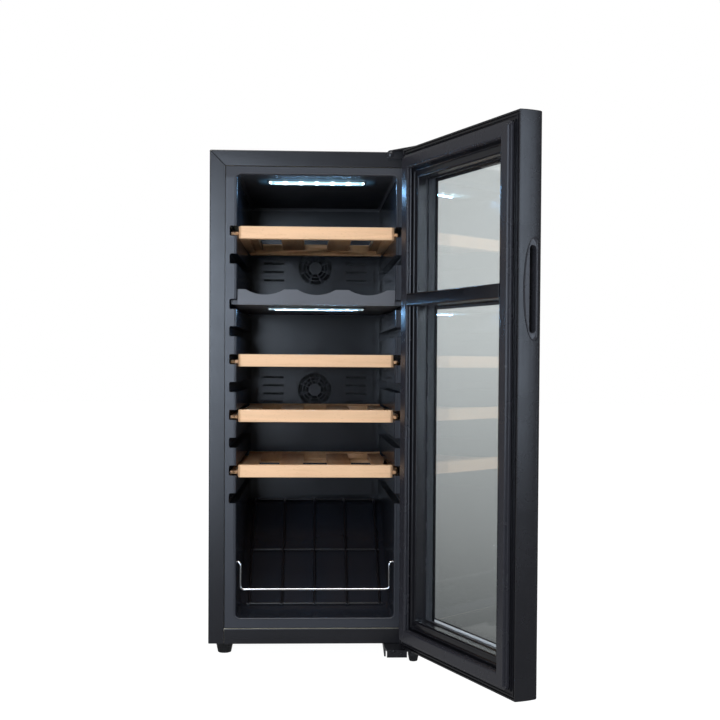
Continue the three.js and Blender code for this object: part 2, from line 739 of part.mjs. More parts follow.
function door() {
  const leaf = new THREE.Group()
  leaf.position.set(-HINGE_X, -HINGE_Y, 0)
  leaf.add(
    part('door_frame', doorFrame(), finishes.doorFrame()),
    part('door_inner_frame', doorInnerFrame(), finishes.plastic()),
    part('outer_glass', doorGlass(157.7, DOOR_FRONT + 0.4, -42), finishes.glass()),
    part('inner_glass', doorGlass(PANE_HALF, GLAZING_BACK - PANE, GLAZING_BACK), finishes.glass()),
    part('glazing_spacer', doorRing(HALF_WIDTH - 131, HALF_WIDTH - 121, -41.4, GLAZING_BACK - PANE - GAP),
      finishes.spacer()),
    part('door_gasket', doorGasket(), finishes.gasket()),
    part('mullion_bar', mullionBar(), finishes.plastic()),
    part('handle_insert', handleInsert(), finishes.plastic()),
    part('upper_hinge_bush', hingeBush(DOOR_TOP - 17, DOOR_TOP - 1), finishes.plastic()),
    part('lower_hinge_bush', hingeBush(DOOR_BOTTOM + 1, DOOR_BOTTOM + 17), finishes.plastic()))
  const pivot = new THREE.Group()
  pivot.position.set(HINGE_X, HINGE_Y, 0)
  pivot.rotation.z = THREE.MathUtils.degToRad(DOOR_OPEN_DEGREES)
  pivot.add(leaf)
  return pivot
}

// ---------------------------------------------------------------- hinges and feet

const HINGE_PLATE = 2.5
const TOP_SCREWS = [[130, 14], [152, 14]]

// Plate on the cabinet's top that reaches out over the door, with a lip down the front
function topHingeBracket() {
  const z0 = HEIGHT + GAP
  const z1 = z0 + HINGE_PLATE
  const plate = polygon([
    [121, 30], [121, -2.8], [149, -36], [155, -43], [167, -43], [171, -38], [171, 30]
  ])
  const lip = box([112.3, 171], [-2.8, -GAP], [786.5, z1])
  const holes = TOP_SCREWS.map(([x, y]) => cylinderZ(x, y, z0 - 1, z1 + 1, 2.6, 12))
  return cut(join(alongZ(plate, z0, z1), lip), cylinderZ(HINGE_X, HINGE_Y, z0 - 1, z1 + 1, 4.3), ...holes)
}

function topHingePin() {
  const top = HEIGHT + GAP + HINGE_PLATE
  return join(
    cylinderZ(HINGE_X, HINGE_Y, DOOR_TOP - 14, top + 0.6, 4),
    cylinderZ(HINGE_X, HINGE_Y, top + GAP, top + 1.6, 6))
}

function topHingeScrew(x, y) {
  const top = HEIGHT + GAP + HINGE_PLATE
  return join(
    cylinderZ(x, y, HEIGHT + 0.6, top + 0.6, 2.2, 12), cylinderZ(x, y, top + GAP, top + 1.8, 4, 12))
}

// Plate under the cabinet with a folded front skirt and a side gusset
function bottomHingeBracket() {
  const top = -GAP
  const under = top - HINGE_PLATE
  const plate = polygon([[112, 70], [112, -20], [115, -46], [165, -46], [171, -40], [171, 70]])
  const skirt = box([115, 147], [-46, -43.5], [-12, top])
  const gusset = polygon([[-24, -15.5], [-19, -15.5], [40, under + 0.1], [40, top], [-24, top]])
  return cut(
    join(alongZ(plate, under, top), skirt, alongX(gusset, 112, 112 + HINGE_PLATE)),
    cylinderZ(HINGE_X, HINGE_Y, under - 1, top + 1, 4.3))
}

function bottomHingePin() {
  return cylinderZ(HINGE_X, HINGE_Y, -GAP - HINGE_PLATE, DOOR_BOTTOM + 14, 4)
}

function hingeFoot() {
  const top = -2 * GAP - HINGE_PLATE
  const x = HINGE_X - 2.6
  return join(
    cylinderZ(x, HINGE_Y, -FOOT_HEIGHT, -FOOT_HEIGHT + 9, 6.6, 24, 8.7),
    cylinderZ(x, HINGE_Y, -FOOT_HEIGHT + 8.9, top, 8.7))
}

function cabinetFoot(x, y) {
  return join(
    cylinderZ(x, y, -FOOT_HEIGHT, -FOOT_HEIGHT + 2.5, 10.5, 24, 12.5),
    cylinderZ(x, y, -FOOT_HEIGHT + 2.4, -GAP, 12.5, 24, 14))
}

function hingesAndFeet() {
  const group = new THREE.Group()
  group.add(
    part('top_hinge_bracket', topHingeBracket(), finishes.paintedSteel()),
    part('top_hinge_pin', topHingePin(), finishes.galvanised()),
    part('top_hinge_screw_left', topHingeScrew(...TOP_SCREWS[0]), finishes.paintedSteel()),
    part('top_hinge_screw_right', topHingeScrew(...TOP_SCREWS[1]), finishes.paintedSteel()),
    part('bottom_hinge_bracket', bottomHingeBracket(), finishes.paintedSteel()),
    part('bottom_hinge_pin', bottomHingePin(), finishes.galvanised()),
    part('hinge_foot', hingeFoot(), finishes.rubber()),
    part('front_left_foot', cabinetFoot(-148, 33), finishes.rubber()),
    part('rear_left_foot', cabinetFoot(-148, 420), finishes.rubber()),
    part('rear_right_foot', cabinetFoot(148, 420), finishes.rubber()))
  return group
}

// ---------------------------------------------------------------- assembly

const group = new THREE.Group()
group.add(cabinet(), coolingSystem(), interior(), shelves(), door(), hingesAndFeet())

const bounds = new THREE.Box3().setFromObject(group, true)
const middle = bounds.getCenter(new THREE.Vector3())
group.position.set(-middle.x, -middle.y, FOOT_HEIGHT)

export default group
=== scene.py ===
"""Looks of a two-zone wine cooler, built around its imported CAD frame.

Shapes are drawn in cabinet millimetres: x = 0 is the cabinet's middle, y = 0 its front
flange and z = 0 its underside. The door is drawn closed and then turned about its hinge.
"""
import json
import math

import bmesh
import bpy
from mathutils import Matrix, Vector

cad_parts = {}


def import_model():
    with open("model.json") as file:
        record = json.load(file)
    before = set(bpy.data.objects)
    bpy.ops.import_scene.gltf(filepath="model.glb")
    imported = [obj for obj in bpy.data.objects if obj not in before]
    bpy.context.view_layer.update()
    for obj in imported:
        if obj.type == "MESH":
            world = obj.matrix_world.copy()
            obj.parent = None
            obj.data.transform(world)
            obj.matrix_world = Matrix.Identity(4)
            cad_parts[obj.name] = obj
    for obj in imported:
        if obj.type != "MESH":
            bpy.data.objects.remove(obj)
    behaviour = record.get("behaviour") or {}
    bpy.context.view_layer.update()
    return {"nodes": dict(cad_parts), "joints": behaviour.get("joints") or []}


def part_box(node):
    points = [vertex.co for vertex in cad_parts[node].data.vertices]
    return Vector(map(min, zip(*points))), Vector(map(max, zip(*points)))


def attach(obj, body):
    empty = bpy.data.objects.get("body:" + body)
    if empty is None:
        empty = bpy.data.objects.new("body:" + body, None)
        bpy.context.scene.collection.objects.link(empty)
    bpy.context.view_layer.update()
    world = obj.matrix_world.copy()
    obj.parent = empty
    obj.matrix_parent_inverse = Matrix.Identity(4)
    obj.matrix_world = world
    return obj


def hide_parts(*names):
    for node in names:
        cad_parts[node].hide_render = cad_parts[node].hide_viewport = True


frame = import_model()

scene = bpy.context.scene

# ---- places from the frame

MM = 0.001
SHELL_LOW, SHELL_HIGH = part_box("outer_shell")
ORIGIN = Vector(((SHELL_LOW.x + SHELL_HIGH.x) / 2, SHELL_LOW.y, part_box("base_plate")[0].z))
CABINET = Matrix.Translation(ORIGIN) @ Matrix.Scale(MM, 4)
HINGE = next(joint for joint in frame["joints"] if joint["name"] == "door_hinge")
HINGE_POINT = Vector(HINGE["pos_m"])
OPEN_ANGLE = -math.radians(HINGE["range_deg"][0])
DOOR = (Matrix.Translation(HINGE_POINT) @ Matrix.Rotation(OPEN_ANGLE, 4, "Z")
        @ Matrix.Translation(-HINGE_POINT) @ CABINET)


def node_box(node, space=CABINET):
    """A CAD node's (low, high) corners in cabinet or closed-door millimetres."""
    back = space.inverted()
    points = [back @ vertex.co for vertex in frame["nodes"][node].data.vertices]
    low = Vector([min(p[i] for p in points) for i in range(3)])
    high = Vector([max(p[i] for p in points) for i in range(3)])
    return low, high


HALF = (SHELL_HIGH.x - SHELL_LOW.x) / 2 / MM
HEIGHT = (SHELL_HIGH.z - ORIGIN.z) / MM
DEPTH = (SHELL_HIGH.y - SHELL_LOW.y) / MM
DOOR_LOW, DOOR_HIGH = node_box("door_frame", DOOR)
HINGE_AXIS = (CABINET.inverted() @ HINGE_POINT).xy

# ---- solids

AXES = {"x": (1, 2, 0), "y": (0, 2, 1), "z": (0, 1, 2)}


def point_on(axis, u, v, along):
    """The point whose outline coordinates are u, v and whose place along the axis is given."""
    point = [0.0, 0.0, 0.0]
    for index, value in zip(AXES[axis], (u, v, along)):
        point[index] = value
    return point


def skin(loops, closed_path=False):
    """Quads between successive loops of points, with the ends capped unless the path closes."""
    bm = bmesh.new()
    rows = [[bm.verts.new(p) for p in loop] for loop in loops]
    pairs = list(zip(rows, rows[1:]))
    if closed_path:
        pairs.append((rows[-1], rows[0]))
    for a, b in pairs:
        count = len(a)
        for i in range(count):
            j = (i + 1) % count
            bm.faces.new((a[i], a[j], b[j], b[i]))
    if not closed_path:
        bm.faces.new(rows[0])
        bm.faces.new(rows[-1])
    bmesh.ops.recalc_face_normals(bm, faces=bm.faces)
    return bm


def prism(outline, axis, low, high):
    """An outline run along an axis."""
    return skin([[point_on(axis, u, v, along) for u, v in outline] for along in (low, high)])


def block(x, y, z):
    """A box between pairs of limits."""
    return prism([(x[0], y[0]), (x[1], y[0]), (x[1], y[1]), (x[0], y[1])], "z", *z)


def arc(centre, radius, start, end, steps):
    """Points on an arc, angles in degrees."""
    angles = [math.radians(start + (end - start) * i / steps) for i in range(steps + 1)]
    return [(centre[0] + radius * math.cos(a), centre[1] + radius * math.sin(a)) for a in angles]


def rounded(u0, u1, v0, v1, radius, steps=6):
    """A rounded rectangle, drawn from its lower right corner."""
    r = max(radius, 0.02)
    left, right, low, high = u0 + r, u1 - r, v0 + r, v1 - r
    corners = (((right, low), -90), ((right, high), 0), ((left, high), 90), ((left, low), 180))
    return [p for centre, start in corners for p in arc(centre, r, start, start + 90, steps)]


def ring(rect, profile, radius, axis="y", steps=6):
    """A closed frame: profile points are (inset from the rectangle, place along the axis)."""
    u0, u1, v0, v1 = rect
    loops = []
    for inset, along in profile:
        outline = rounded(u0 + inset, u1 - inset, v0 + inset, v1 - inset, radius - inset, steps)
        loops.append([point_on(axis, u, v, along) for u, v in outline])
    return skin(loops, closed_path=True)


def arch(half, bottom, top, profile, radius):
    """An upside-down U: up the left side, across the top and down the right side."""
    loops = []
    for inset, y in profile:
        r = max(radius - inset, 0.02)
        w = half - inset
        h = top - inset
        path = [(-w, bottom)] + arc((-w + r, h - r), r, 180, 90, 5)
        path += arc((w - r, h - r), r, 90, 0, 5) + [(w, bottom)]
        loops.append([(x, y, z) for x, z in path])
    stations = [list(column) for column in zip(*loops)]
    return skin(stations)


def cylinder(axis, centre, low, high, radius, sides=32):
    return prism(arc(centre, radius, 0, 360, sides)[:-1], axis, low, high)


def lathe(axis, centre, profile, sides=40):
    """A turned solid: profile points are (radius, place along the axis), ends included."""
    return skin([[point_on(axis, u, v, along) for u, v in arc(centre, r, 0, 360, sides)[:-1]]
                 for r, along in profile])


def filleted(points, radius):
    """A polyline with its corners rounded."""
    corners = [Vector(p) for p in points]
    path = [corners[0]]
    for before, here, after in zip(corners, corners[1:], corners[2:]):
        start = here + (before - here).normalized() * radius
        end = here + (after - here).normalized() * radius
        for t in (0, 0.2, 0.4, 0.6, 0.8, 1):
            path.append(start * (1 - t) ** 2 + here * 2 * t * (1 - t) + end * t ** 2)
    path.append(corners[-1])
    return path


def tube(points, radius, corner=5.0, sides=14):
    """A round wire or pipe along a polyline with rounded corners."""
    path = filleted(points, corner)
    runs = [(b - a).normalized() for a, b in zip(path, path[1:])]
    tangents = [runs[0]] + [(a + b).normalized() for a, b in zip(runs, runs[1:])] + [runs[-1]]
    side = tangents[0].orthogonal().normalized()
    loops = []
    for place, tangent in zip(path, tangents):
        side = (side - tangent * side.dot(tangent)).normalized()
        other = tangent.cross(side)
        loops.append([place + side * u + other * v for u, v in arc((0, 0), radius, 0, 360, sides)[:-1]])
    return skin(loops)


def helper(bm):
    """A temporary object holding a solid."""
    mesh = bpy.data.meshes.new("solid")
    bm.to_mesh(mesh)
    bm.free()
    obj = bpy.data.objects.new("solid", mesh)
    scene.collection.objects.link(obj)
    return obj


def baked(obj):
    """The object's mesh with its modifiers applied."""
    graph = bpy.context.evaluated_depsgraph_get()
    return bpy.data.meshes.new_from_object(obj.evaluated_get(graph), depsgraph=graph)


def apply_modifiers(obj):
    old, obj.data = obj.data, baked(obj)
    obj.modifiers.clear()
    bpy.data.meshes.remove(old)


def together(solids):
    """Several closed solids in one mesh."""
    whole = bmesh.new()
    for bm in solids:
        mesh = bpy.data.meshes.new("solid")
        bm.to_mesh(mesh)
        bm.free()
        whole.from_mesh(mesh)
        bpy.data.meshes.remove(mesh)
    return whole


def boolean(base, tool, operation):
    """The base solid with the tool joined to it or cut from it."""
    target, cutter = helper(base), helper(tool)
    modifier = target.modifiers.new("boolean", "BOOLEAN")
    modifier.object = cutter
    modifier.operation = operation
    modifier.solver = "EXACT"
    modifier.use_self = True
    mesh = baked(target)
    result = bmesh.new()
    result.from_mesh(mesh)
    for obj in (target, cutter):
        bpy.data.objects.remove(obj)
    bpy.data.meshes.remove(mesh)
    return result


def joined(*solids):
    """The union of overlapping solids."""
    whole = solids[0]
    for solid in solids[1:]:
        whole = boolean(whole, solid, "UNION")
    return whole


def cut(base, *tools):
    return boolean(base, together(tools), "DIFFERENCE")


def cad_solid(node):
    """A CAD node's own shape in cabinet millimetres, with its flat faces whole again."""
    bm = bmesh.new()
    bm.from_mesh(frame["nodes"][node].data)
    bm.transform(CABINET.inverted())
    bmesh.ops.remove_doubles(bm, verts=bm.verts, dist=0.002)
    bmesh.ops.dissolve_limit(bm, angle_limit=math.radians(0.5), verts=bm.verts, edges=bm.edges)
    bmesh.ops.recalc_face_normals(bm, faces=bm.faces)
    return bm


def piece(name, bm, finish, nodes=(), body="cabinet", bevel=0.5, segments=2, angle=35):
    """Makes a finished piece: softened edges, placed in the frame, riding on its body."""
    slot, material = finish
    bmesh.ops.remove_doubles(bm, verts=bm.verts, dist=0.001)
    obj = helper(bm)
    if bevel:
        modifier = obj.modifiers.new("bevel", "BEVEL")
        modifier.width = bevel
        modifier.segments = segments
        modifier.limit_method = "ANGLE"
        modifier.angle_limit = math.radians(angle)
        modifier.miter_outer = "MITER_ARC"
    apply_modifiers(obj)
    obj.data.polygons.foreach_set("use_smooth", [True] * len(obj.data.polygons))
    obj.data.set_sharp_from_angle(angle=math.radians(60))
    obj.modifiers.new("normals", "WEIGHTED_NORMAL").keep_sharp = True
    apply_modifiers(obj)
    obj.name = name
    mesh = obj.data
    mesh.name = name
    mesh.transform(DOOR if body == "door" else CABINET)
    mesh.materials.clear()
    mesh.materials.append(material)
    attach(obj, body)
    if nodes:
        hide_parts(*nodes)
    return obj


def carried(name, node, finish, body="cabinet", **edges):
    """A piece with its CAD node's own shape and softened edges."""
    piece(name, cad_solid(node), finish, [node], body, **edges)


# ---- materials

class Shader:
    """A Principled material and the nodes that drive it."""

    def __init__(self, name, **sockets):
        self.material = bpy.data.materials.new(name)
        self.material.use_nodes = True
        self.nodes = self.material.node_tree.nodes
        self.links = self.material.node_tree.links
        self.bsdf = self.nodes["Principled BSDF"]
        self.place = self.nodes.new("ShaderNodeTexCoord").outputs["Object"]
        for socket, value in sockets.items():
            self.bsdf.inputs[socket.replace("_", " ")].default_value = value

    def join(self, output, name):
        self.links.new(output, self.bsdf.inputs[name])

    def stretched(self, stretch):
        if stretch == (1, 1, 1):
            return self.place
        mapping = self.nodes.new("ShaderNodeMapping")
        mapping.inputs["Scale"].default_value = stretch
        self.links.new(self.place, mapping.inputs["Vector"])
        return mapping.outputs["Vector"]

    def noise(self, scale, detail=4.0, stretch=(1, 1, 1), distortion=0.0):
        node = self.nodes.new("ShaderNodeTexNoise")
        node.inputs["Scale"].default_value = scale
        node.inputs["Detail"].default_value = detail
        node.inputs["Distortion"].default_value = distortion
        self.links.new(self.stretched(stretch), node.inputs["Vector"])
        return node.outputs["Fac"]

    def cells(self, scale, output="Distance", stretch=(1, 1, 1)):
        node = self.nodes.new("ShaderNodeTexVoronoi")
        node.inputs["Scale"].default_value = scale
        self.links.new(self.stretched(stretch), node.inputs["Vector"])
        return node.outputs[output]

    def span(self, value, low, high, start=0.0, end=1.0):
        return map_range(self.material.node_tree, value, (low, high), (start, end))

    def math(self, operation, a, b):
        node = self.nodes.new("ShaderNodeMath")
        node.operation = operation
        for socket, value in zip(node.inputs, (a, b)):
            if isinstance(value, (int, float)):
                socket.default_value = value
            else:
                self.links.new(value, socket)
        return node.outputs["Value"]

    def plus(self, a, b):
        return self.math("ADD", a, b)

    def times(self, a, b):
        return self.math("MULTIPLY", a, b)

    def distance(self, axis, middle):
        """How far a point lies from a middle value along an axis."""
        return self.math("ABSOLUTE", self.math("SUBTRACT", self.axis(axis), middle), 0)

    def mottle(self, grain):
        """Broad patches of tone with a fine grain over them."""
        return self.plus(self.times(self.noise(9, 3), 0.6), self.times(grain, 0.4))

    def smudges(self, low, high):
        """Handling marks, as a roughness between two limits."""
        return self.span(self.noise(26, 5, distortion=0.6), 0.3, 0.7, low, high)

    def blend(self, factor, a, b):
        node = self.nodes.new("ShaderNodeMix")
        node.data_type = "RGBA"
        self.links.new(factor, node.inputs["Factor"])
        for socket, value in ((node.inputs[6], a), (node.inputs[7], b)):
            if isinstance(value, tuple):
                socket.default_value = (*value, 1.0)
            else:
                self.links.new(value, socket)
        return node.outputs[2]

    def axis(self, name):
        node = self.nodes.new("ShaderNodeSeparateXYZ")
        self.links.new(self.place, node.inputs["Vector"])
        return node.outputs[name]

    def bump(self, height, distance):
        node = self.nodes.new("ShaderNodeBump")
        node.inputs["Distance"].default_value = distance
        self.links.new(height, node.inputs["Height"])
        self.join(node.outputs["Normal"], "Normal")


def map_range(tree, value, limits, results):
    """A linear ramp of a node's value, held at its ends."""
    node = tree.nodes.new("ShaderNodeMapRange")
    for socket, number in zip(("From Min", "From Max", "To Min", "To Max"), (*limits, *results)):
        node.inputs[socket].default_value = number
    tree.links.new(value, node.inputs["Value"])
    return node.outputs["Result"]


def shade(colour, factor):
    return tuple(channel * factor for channel in colour)


def moulded(name, colour, roughness, grain=1400, relief=0.00003, spread=0.12, drift=0.06):
    """Coated steel or moulded plastic: fine grain, faint handling marks and colour drift."""
    s = Shader(name)
    fine = s.noise(grain, 3)
    dark, light = shade(colour, 1 - 2 * spread), shade(colour, 1 + 2 * spread)
    s.join(s.blend(s.mottle(fine), dark, light), "Base Color")
    s.join(s.smudges(roughness - drift, roughness + drift), "Roughness")
    s.bump(fine, relief)
    return s.material


def tub_plastic():
    """Satin front frame, glossy black tub behind its lip, and a painted glow of lamplight on the tub's
    ceiling.
    """
    s = Shader("liner_black", Emission_Color=(0.22, 0.60, 1.0, 1))
    inside = s.span(s.axis("Y"), ORIGIN.y + 0.0006, ORIGIN.y + 0.0022)
    tone = s.mottle(s.noise(500, 3))
    satin = s.blend(tone, (0.023, 0.025, 0.032), (0.035, 0.038, 0.047))
    gloss = s.blend(tone, (0.015, 0.017, 0.023), (0.021, 0.024, 0.032))
    s.join(s.blend(inside, satin, gloss), "Base Color")
    # Painted glow: blue emission on the ceiling near the upper lamp stands in for the lamplight falling
    # there.
    low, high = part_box("upper_lamp_lens")
    half = (high.x - low.x) / 2
    ceiling = s.span(s.axis("Z"), ORIGIN.z + 0.752, ORIGIN.z + 0.757)
    along = s.span(s.distance("X", (low.x + high.x) / 2), half + 0.020, half - 0.045)
    away = s.distance("Y", (low.y + high.y) / 2)
    across = s.math("POWER", s.span(away, 0.050, 0.004), 1.6)
    glow = s.times(ceiling, s.times(along, across))
    s.join(s.times(glow, 0.5), "Emission Strength")
    sheen = s.plus(s.span(inside, 0, 1, 0.33, 0.22), s.times(ceiling, 0.3))
    s.join(s.plus(sheen, s.smudges(-0.03, 0.03)), "Roughness")
    s.bump(s.noise(420, 3), 0.00002)
    return s.material


def wood(name, colour, dark, stretch):
    """Beech: long soft grain, darker growth lines and the short flecks of its rays."""
    s = Shader(name, Coat_Weight=0.12, Coat_Roughness=0.35)
    grain = s.noise(38, 8, stretch, 1.2)
    lines = s.noise(210, 5, stretch, 0.3)
    flecks = s.cells(620, stretch=tuple(0.16 if value < 0.5 else 1 for value in stretch))
    warm = s.blend(s.span(grain, 0.3, 0.7), shade(colour, 1.06), shade(colour, 0.88))
    veined = s.blend(s.span(lines, 0.56, 0.78, 0, 0.42), warm, dark)
    flecked = s.blend(s.span(flecks, 0.22, 0.08, 0, 0.5), veined, shade(dark, 0.8))
    s.join(flecked, "Base Color")
    s.join(s.span(lines, 0.3, 0.8, 0.42, 0.6), "Roughness")
    s.bump(s.plus(lines, s.times(flecks, 0.5)), 0.00008)
    return s.material


def metal(name, colour, roughness, stretch, marks=0.06):
    """Bare or plated metal with its drawing lines."""
    s = Shader(name, Metallic=1.0)
    lines = s.noise(900, 4, stretch)
    cloud = s.noise(30, 4)
    s.join(s.blend(cloud, shade(colour, 0.86), shade(colour, 1.06)), "Base Color")
    s.join(s.span(s.plus(lines, cloud), 0.6, 1.4, roughness - marks, roughness + marks), "Roughness")
    s.bump(lines, 0.00002)
    return s.material


def galvanised():
    """Zinc-coated sheet with its spangle."""
    s = Shader("galvanised", Metallic=1.0)
    flake = s.cells(160, output="Color")
    s.join(s.blend(flake, (0.36, 0.38, 0.40), (0.60, 0.62, 0.64)), "Base Color")
    s.join(s.span(flake, 0, 1, 0.32, 0.52), "Roughness")
    s.bump(s.noise(700, 3), 0.00003)
    return s.material


def glazing():
    """Lightly smoked glass with a faint unevenness in its tint."""
    s = Shader("smoked_glass", Roughness=0.0, Transmission_Weight=1.0, IOR=1.45)
    s.join(s.blend(s.noise(5, 2), (0.85, 0.88, 0.88), (0.89, 0.92, 0.92)), "Base Color")
    return s.material


def enamel_print():
    """Black ceramic print behind the glass."""
    s = Shader("glass_print")
    dots = s.noise(2200, 2)
    s.join(s.blend(dots, (0.006, 0.006, 0.007), (0.016, 0.016, 0.018)), "Base Color")
    s.join(s.span(dots, 0, 1, 0.10, 0.2), "Roughness")
    return s.material


def foam():
    s = Shader("foam")
    bubbles = s.cells(420)
    s.join(s.blend(bubbles, (0.48, 0.42, 0.27), (0.76, 0.70, 0.50)), "Base Color")
    s.join(s.span(s.noise(60, 3), 0, 1, 0.8, 0.95), "Roughness")
    s.bump(bubbles, 0.0006)
    return s.material


def perforated(name, bright, hole):
    """Satin spacer bar with its rows of breathing holes."""
    s = Shader(name, Metallic=0.1)
    holes = s.cells(1500)
    s.join(s.blend(s.span(holes, 0.10, 0.16), hole, bright), "Base Color")
    s.join(s.span(s.noise(900, 3), 0, 1, 0.42, 0.50), "Roughness")
    s.bump(holes, 0.00002)
    return s.material


LED_PITCH = 0.0262


def lamp_lens():
    """Frosted strip over a row of cold white diodes."""
    s = Shader("lamp_lens", Roughness=0.25)
    low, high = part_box("upper_lamp_lens")
    middle = (low.x + high.x) / 2
    along = s.math("DIVIDE", s.math("SUBTRACT", s.axis("X"), middle), LED_PITCH)
    swing = s.math("ABSOLUTE", s.math("COSINE", s.times(along, math.pi), 0), 0)
    wave = s.math("POWER", swing, 14.0)
    frost = s.span(s.noise(900, 2), 0, 1, 0.9, 1.1)
    s.join(s.blend(wave, (0.42, 0.56, 0.62), (0.90, 0.96, 1.0)), "Base Color")
    s.join(s.blend(wave, (0.42, 0.72, 0.82), (0.75, 0.94, 1.0)), "Emission Color")
    zone = s.span(s.axis("Z"), ORIGIN.z + 0.60, ORIGIN.z + 0.70, 0.16, 1.0)
    glow = s.times(s.plus(s.times(wave, 2.4), 0.75), s.times(frost, zone))
    s.join(glow, "Emission Strength")
    return s.material


# Each finish is a slot of the record and the material that fills it.
SATIN = ("satin_black_steel", moulded("satin_black", (0.0110, 0.0108, 0.0130), 0.29, drift=0.015))
LINER = ("black_liner", tub_plastic())
PLASTIC = ("black_plastic",
           moulded("black_plastic", (0.017, 0.018, 0.021), 0.42, grain=1100, relief=0.00004))
PROFILE = ("door_profile", moulded("door_profile", (0.0110, 0.0108, 0.0130), 0.27, drift=0.03))
GRIP = ("black_plastic", moulded("grip_moulding", (0.027, 0.027, 0.032), 0.27, grain=1200, relief=0.00004))
BORDER = ("black_plastic",
          moulded("door_moulding", (0.007, 0.007, 0.009), 0.21, grain=900, relief=0.00001, spread=0.06))
GREY = ("grey_plastic", moulded("divider_grey", (0.086, 0.089, 0.100), 0.42, grain=1000))
SEAL = ("seal_rubber", moulded("seal_rubber", (0.021, 0.021, 0.026), 0.26, grain=700, relief=0.00001,
                               spread=0.08, drift=0.03))
RUBBER = ("foot_rubber", moulded("foot_rubber", (0.010, 0.010, 0.011), 0.62, grain=600, relief=0.00008))
COATED = ("galvanised_steel", moulded("coated_fins", (0.030, 0.032, 0.036), 0.5, grain=500))
ENAMEL = ("compressor_black", moulded("compressor_enamel", (0.012, 0.012, 0.013), 0.22, grain=300))
BEECH_RAIL = ("beech", wood("beech_rail", (0.78, 0.49, 0.28), (0.58, 0.33, 0.17), (0.07, 1, 1)))
# Painted shade: the slats' beech is a darker, warmer copy of the rail's beech, standing in for the shade
# under the shelves.
SHADED_BEECH_SLAT = ("beech", wood("beech_slat_shaded", (0.60, 0.33, 0.16), (0.36, 0.18, 0.08), (1, 0.07, 1)))
CHROME = ("chrome_wire", metal("chrome", (0.82, 0.83, 0.85), 0.08, (1, 1, 1), 0.03))
STEEL = ("galvanised_steel", metal("bare_steel", (0.50, 0.51, 0.53), 0.32, (1, 1, 0.1)))
COPPER = ("copper_tube", metal("copper", (0.72, 0.36, 0.20), 0.34, (1, 0.2, 1), 0.1))
ZINC = ("galvanised_steel", galvanised())
GLASS = ("smoked_glass", glazing())
PRINT = ("black_plastic", enamel_print())
FOAM = foam()
SPACER = ("spacer_aluminium", perforated("spacer_silver", (0.84, 0.84, 0.85), (0.60, 0.60, 0.61)))
SPACER_DARK = ("spacer_aluminium", perforated("spacer_black", (0.030, 0.031, 0.035), (0.014, 0.014, 0.016)))
LENS = ("lamp_diffuser", lamp_lens())
# Painted shade: the dark seam strips use the foot rubber's material.
SEAM_SHADE = ("seal_rubber", RUBBER[1])
BLACK_SCREW = ("satin_black_steel", STEEL[1])

# ---- cabinet

FLANGE = 25.3
FLANGE_LEAN = 0.024
SHEET = 1.2
OPEN_HALF = 130.8
OPEN_BOTTOM = 41.0
OPEN_TOP = 760.5
CAVITY_DEPTH = 410.0
CAVITY_HALF_BACK = 124.0
SLOPE = ((112.0, 41.0), (320.0, 190.0))
LINER_FACE = 0.6
CHANNEL_TOPS = (677, 632, 559, 515, 470, 425, 380, 335, 290, 245)
CHANNEL_HEIGHT = 16.5
CHANNEL_HALF = 140.2
CHANNEL_DEPTH = 398.0


def outer_shell():
    fold = [(0, DEPTH), (0, 1.8), (0.5, 0.5), (1.8, 0), (FLANGE - 0.5, 0), (FLANGE, 0.5),
            (FLANGE, SHEET), (SHEET, SHEET), (SHEET, DEPTH)]
    sheet = arch(HALF, 1.5, HEIGHT, fold, 2.2)
    seams = []
    for side in (-1, 1):
        seam = block((-0.8, 0.8), (-1, 1.3), (-FLANGE * 0.69, FLANGE * 0.69))
        turn = Matrix.Rotation(math.radians(45 * side), 4, "Y")
        middle = Matrix.Translation((side * (HALF - FLANGE / 2), 0, HEIGHT - FLANGE / 2))
        seam.transform(middle @ turn)
        seams.append(seam)
    shell = cut(sheet, *seams)
    for vertex in shell.verts:
        drop = HEIGHT - vertex.co.z
        if vertex.co.y < 0.6 and drop < FLANGE + 0.1 and abs(vertex.co.x) < HALF - drop:
            vertex.co.y += FLANGE_LEAN * drop
    piece("cabinet_shell", shell, SATIN, ["outer_shell"], bevel=0.12, segments=1)


def dark_seam_shade_strips():
    """Painted shade: dark strips behind the flange's mitres and along the tub's edge, so these seams read
    as shaded gaps.
    """
    band = arch(HALF - 1.8, 26, HEIGHT - 1.8, [(0, 1.25), (23.5, 1.25), (23.5, 1.45), (0, 1.45)], 0.5)
    foot_band = block((-HALF + FLANGE, HALF - FLANGE), (3.3, 3.5), (23, 29))
    seam_band = arch(HALF - 23.8, 29.2, HEIGHT - 23.8, [(0, 3.62), (3.4, 3.62), (3.4, 3.8), (0, 3.8)], 0.5)
    piece("dark_seam_shade_strips", together([band, foot_band, seam_band]), SEAM_SHADE, bevel=0)


def cavity_cutter():
    """The tub's hollow: a rounded mouth that flares at the front, then a slight draft."""
    flare = [(-1.5, 0.0), (-0.1, 0.0), (0.0, 0.35), (0.3, 1.0), (0.9, 1.8), (1.8, 2.5), (3.2, 2.9),
             (5.5, 3.0)]
    loops = []
    for y, inset in flare:
        half, rise = OPEN_HALF - inset, inset * 0.6
        mouth = rounded(-half, half, OPEN_BOTTOM + rise, OPEN_TOP - rise, 9 - inset)
        loops.append([(x, y, z) for x, z in mouth])
    rear = rounded(-CAVITY_HALF_BACK, CAVITY_HALF_BACK, OPEN_BOTTOM + 2, OPEN_TOP - 2, 6)
    loops.append([(x, CAVITY_DEPTH, z) for x, z in rear])
    (y0, z0), (y1, z1) = SLOPE
    past = CAVITY_DEPTH + 9
    step = prism([(y0, z0 - 5), (past, z0 - 5), (past, z1), (y1, z1), (y0, z0 + 1.8)], "x", -HALF, HALF)
    return boolean(skin(loops), step, "DIFFERENCE")


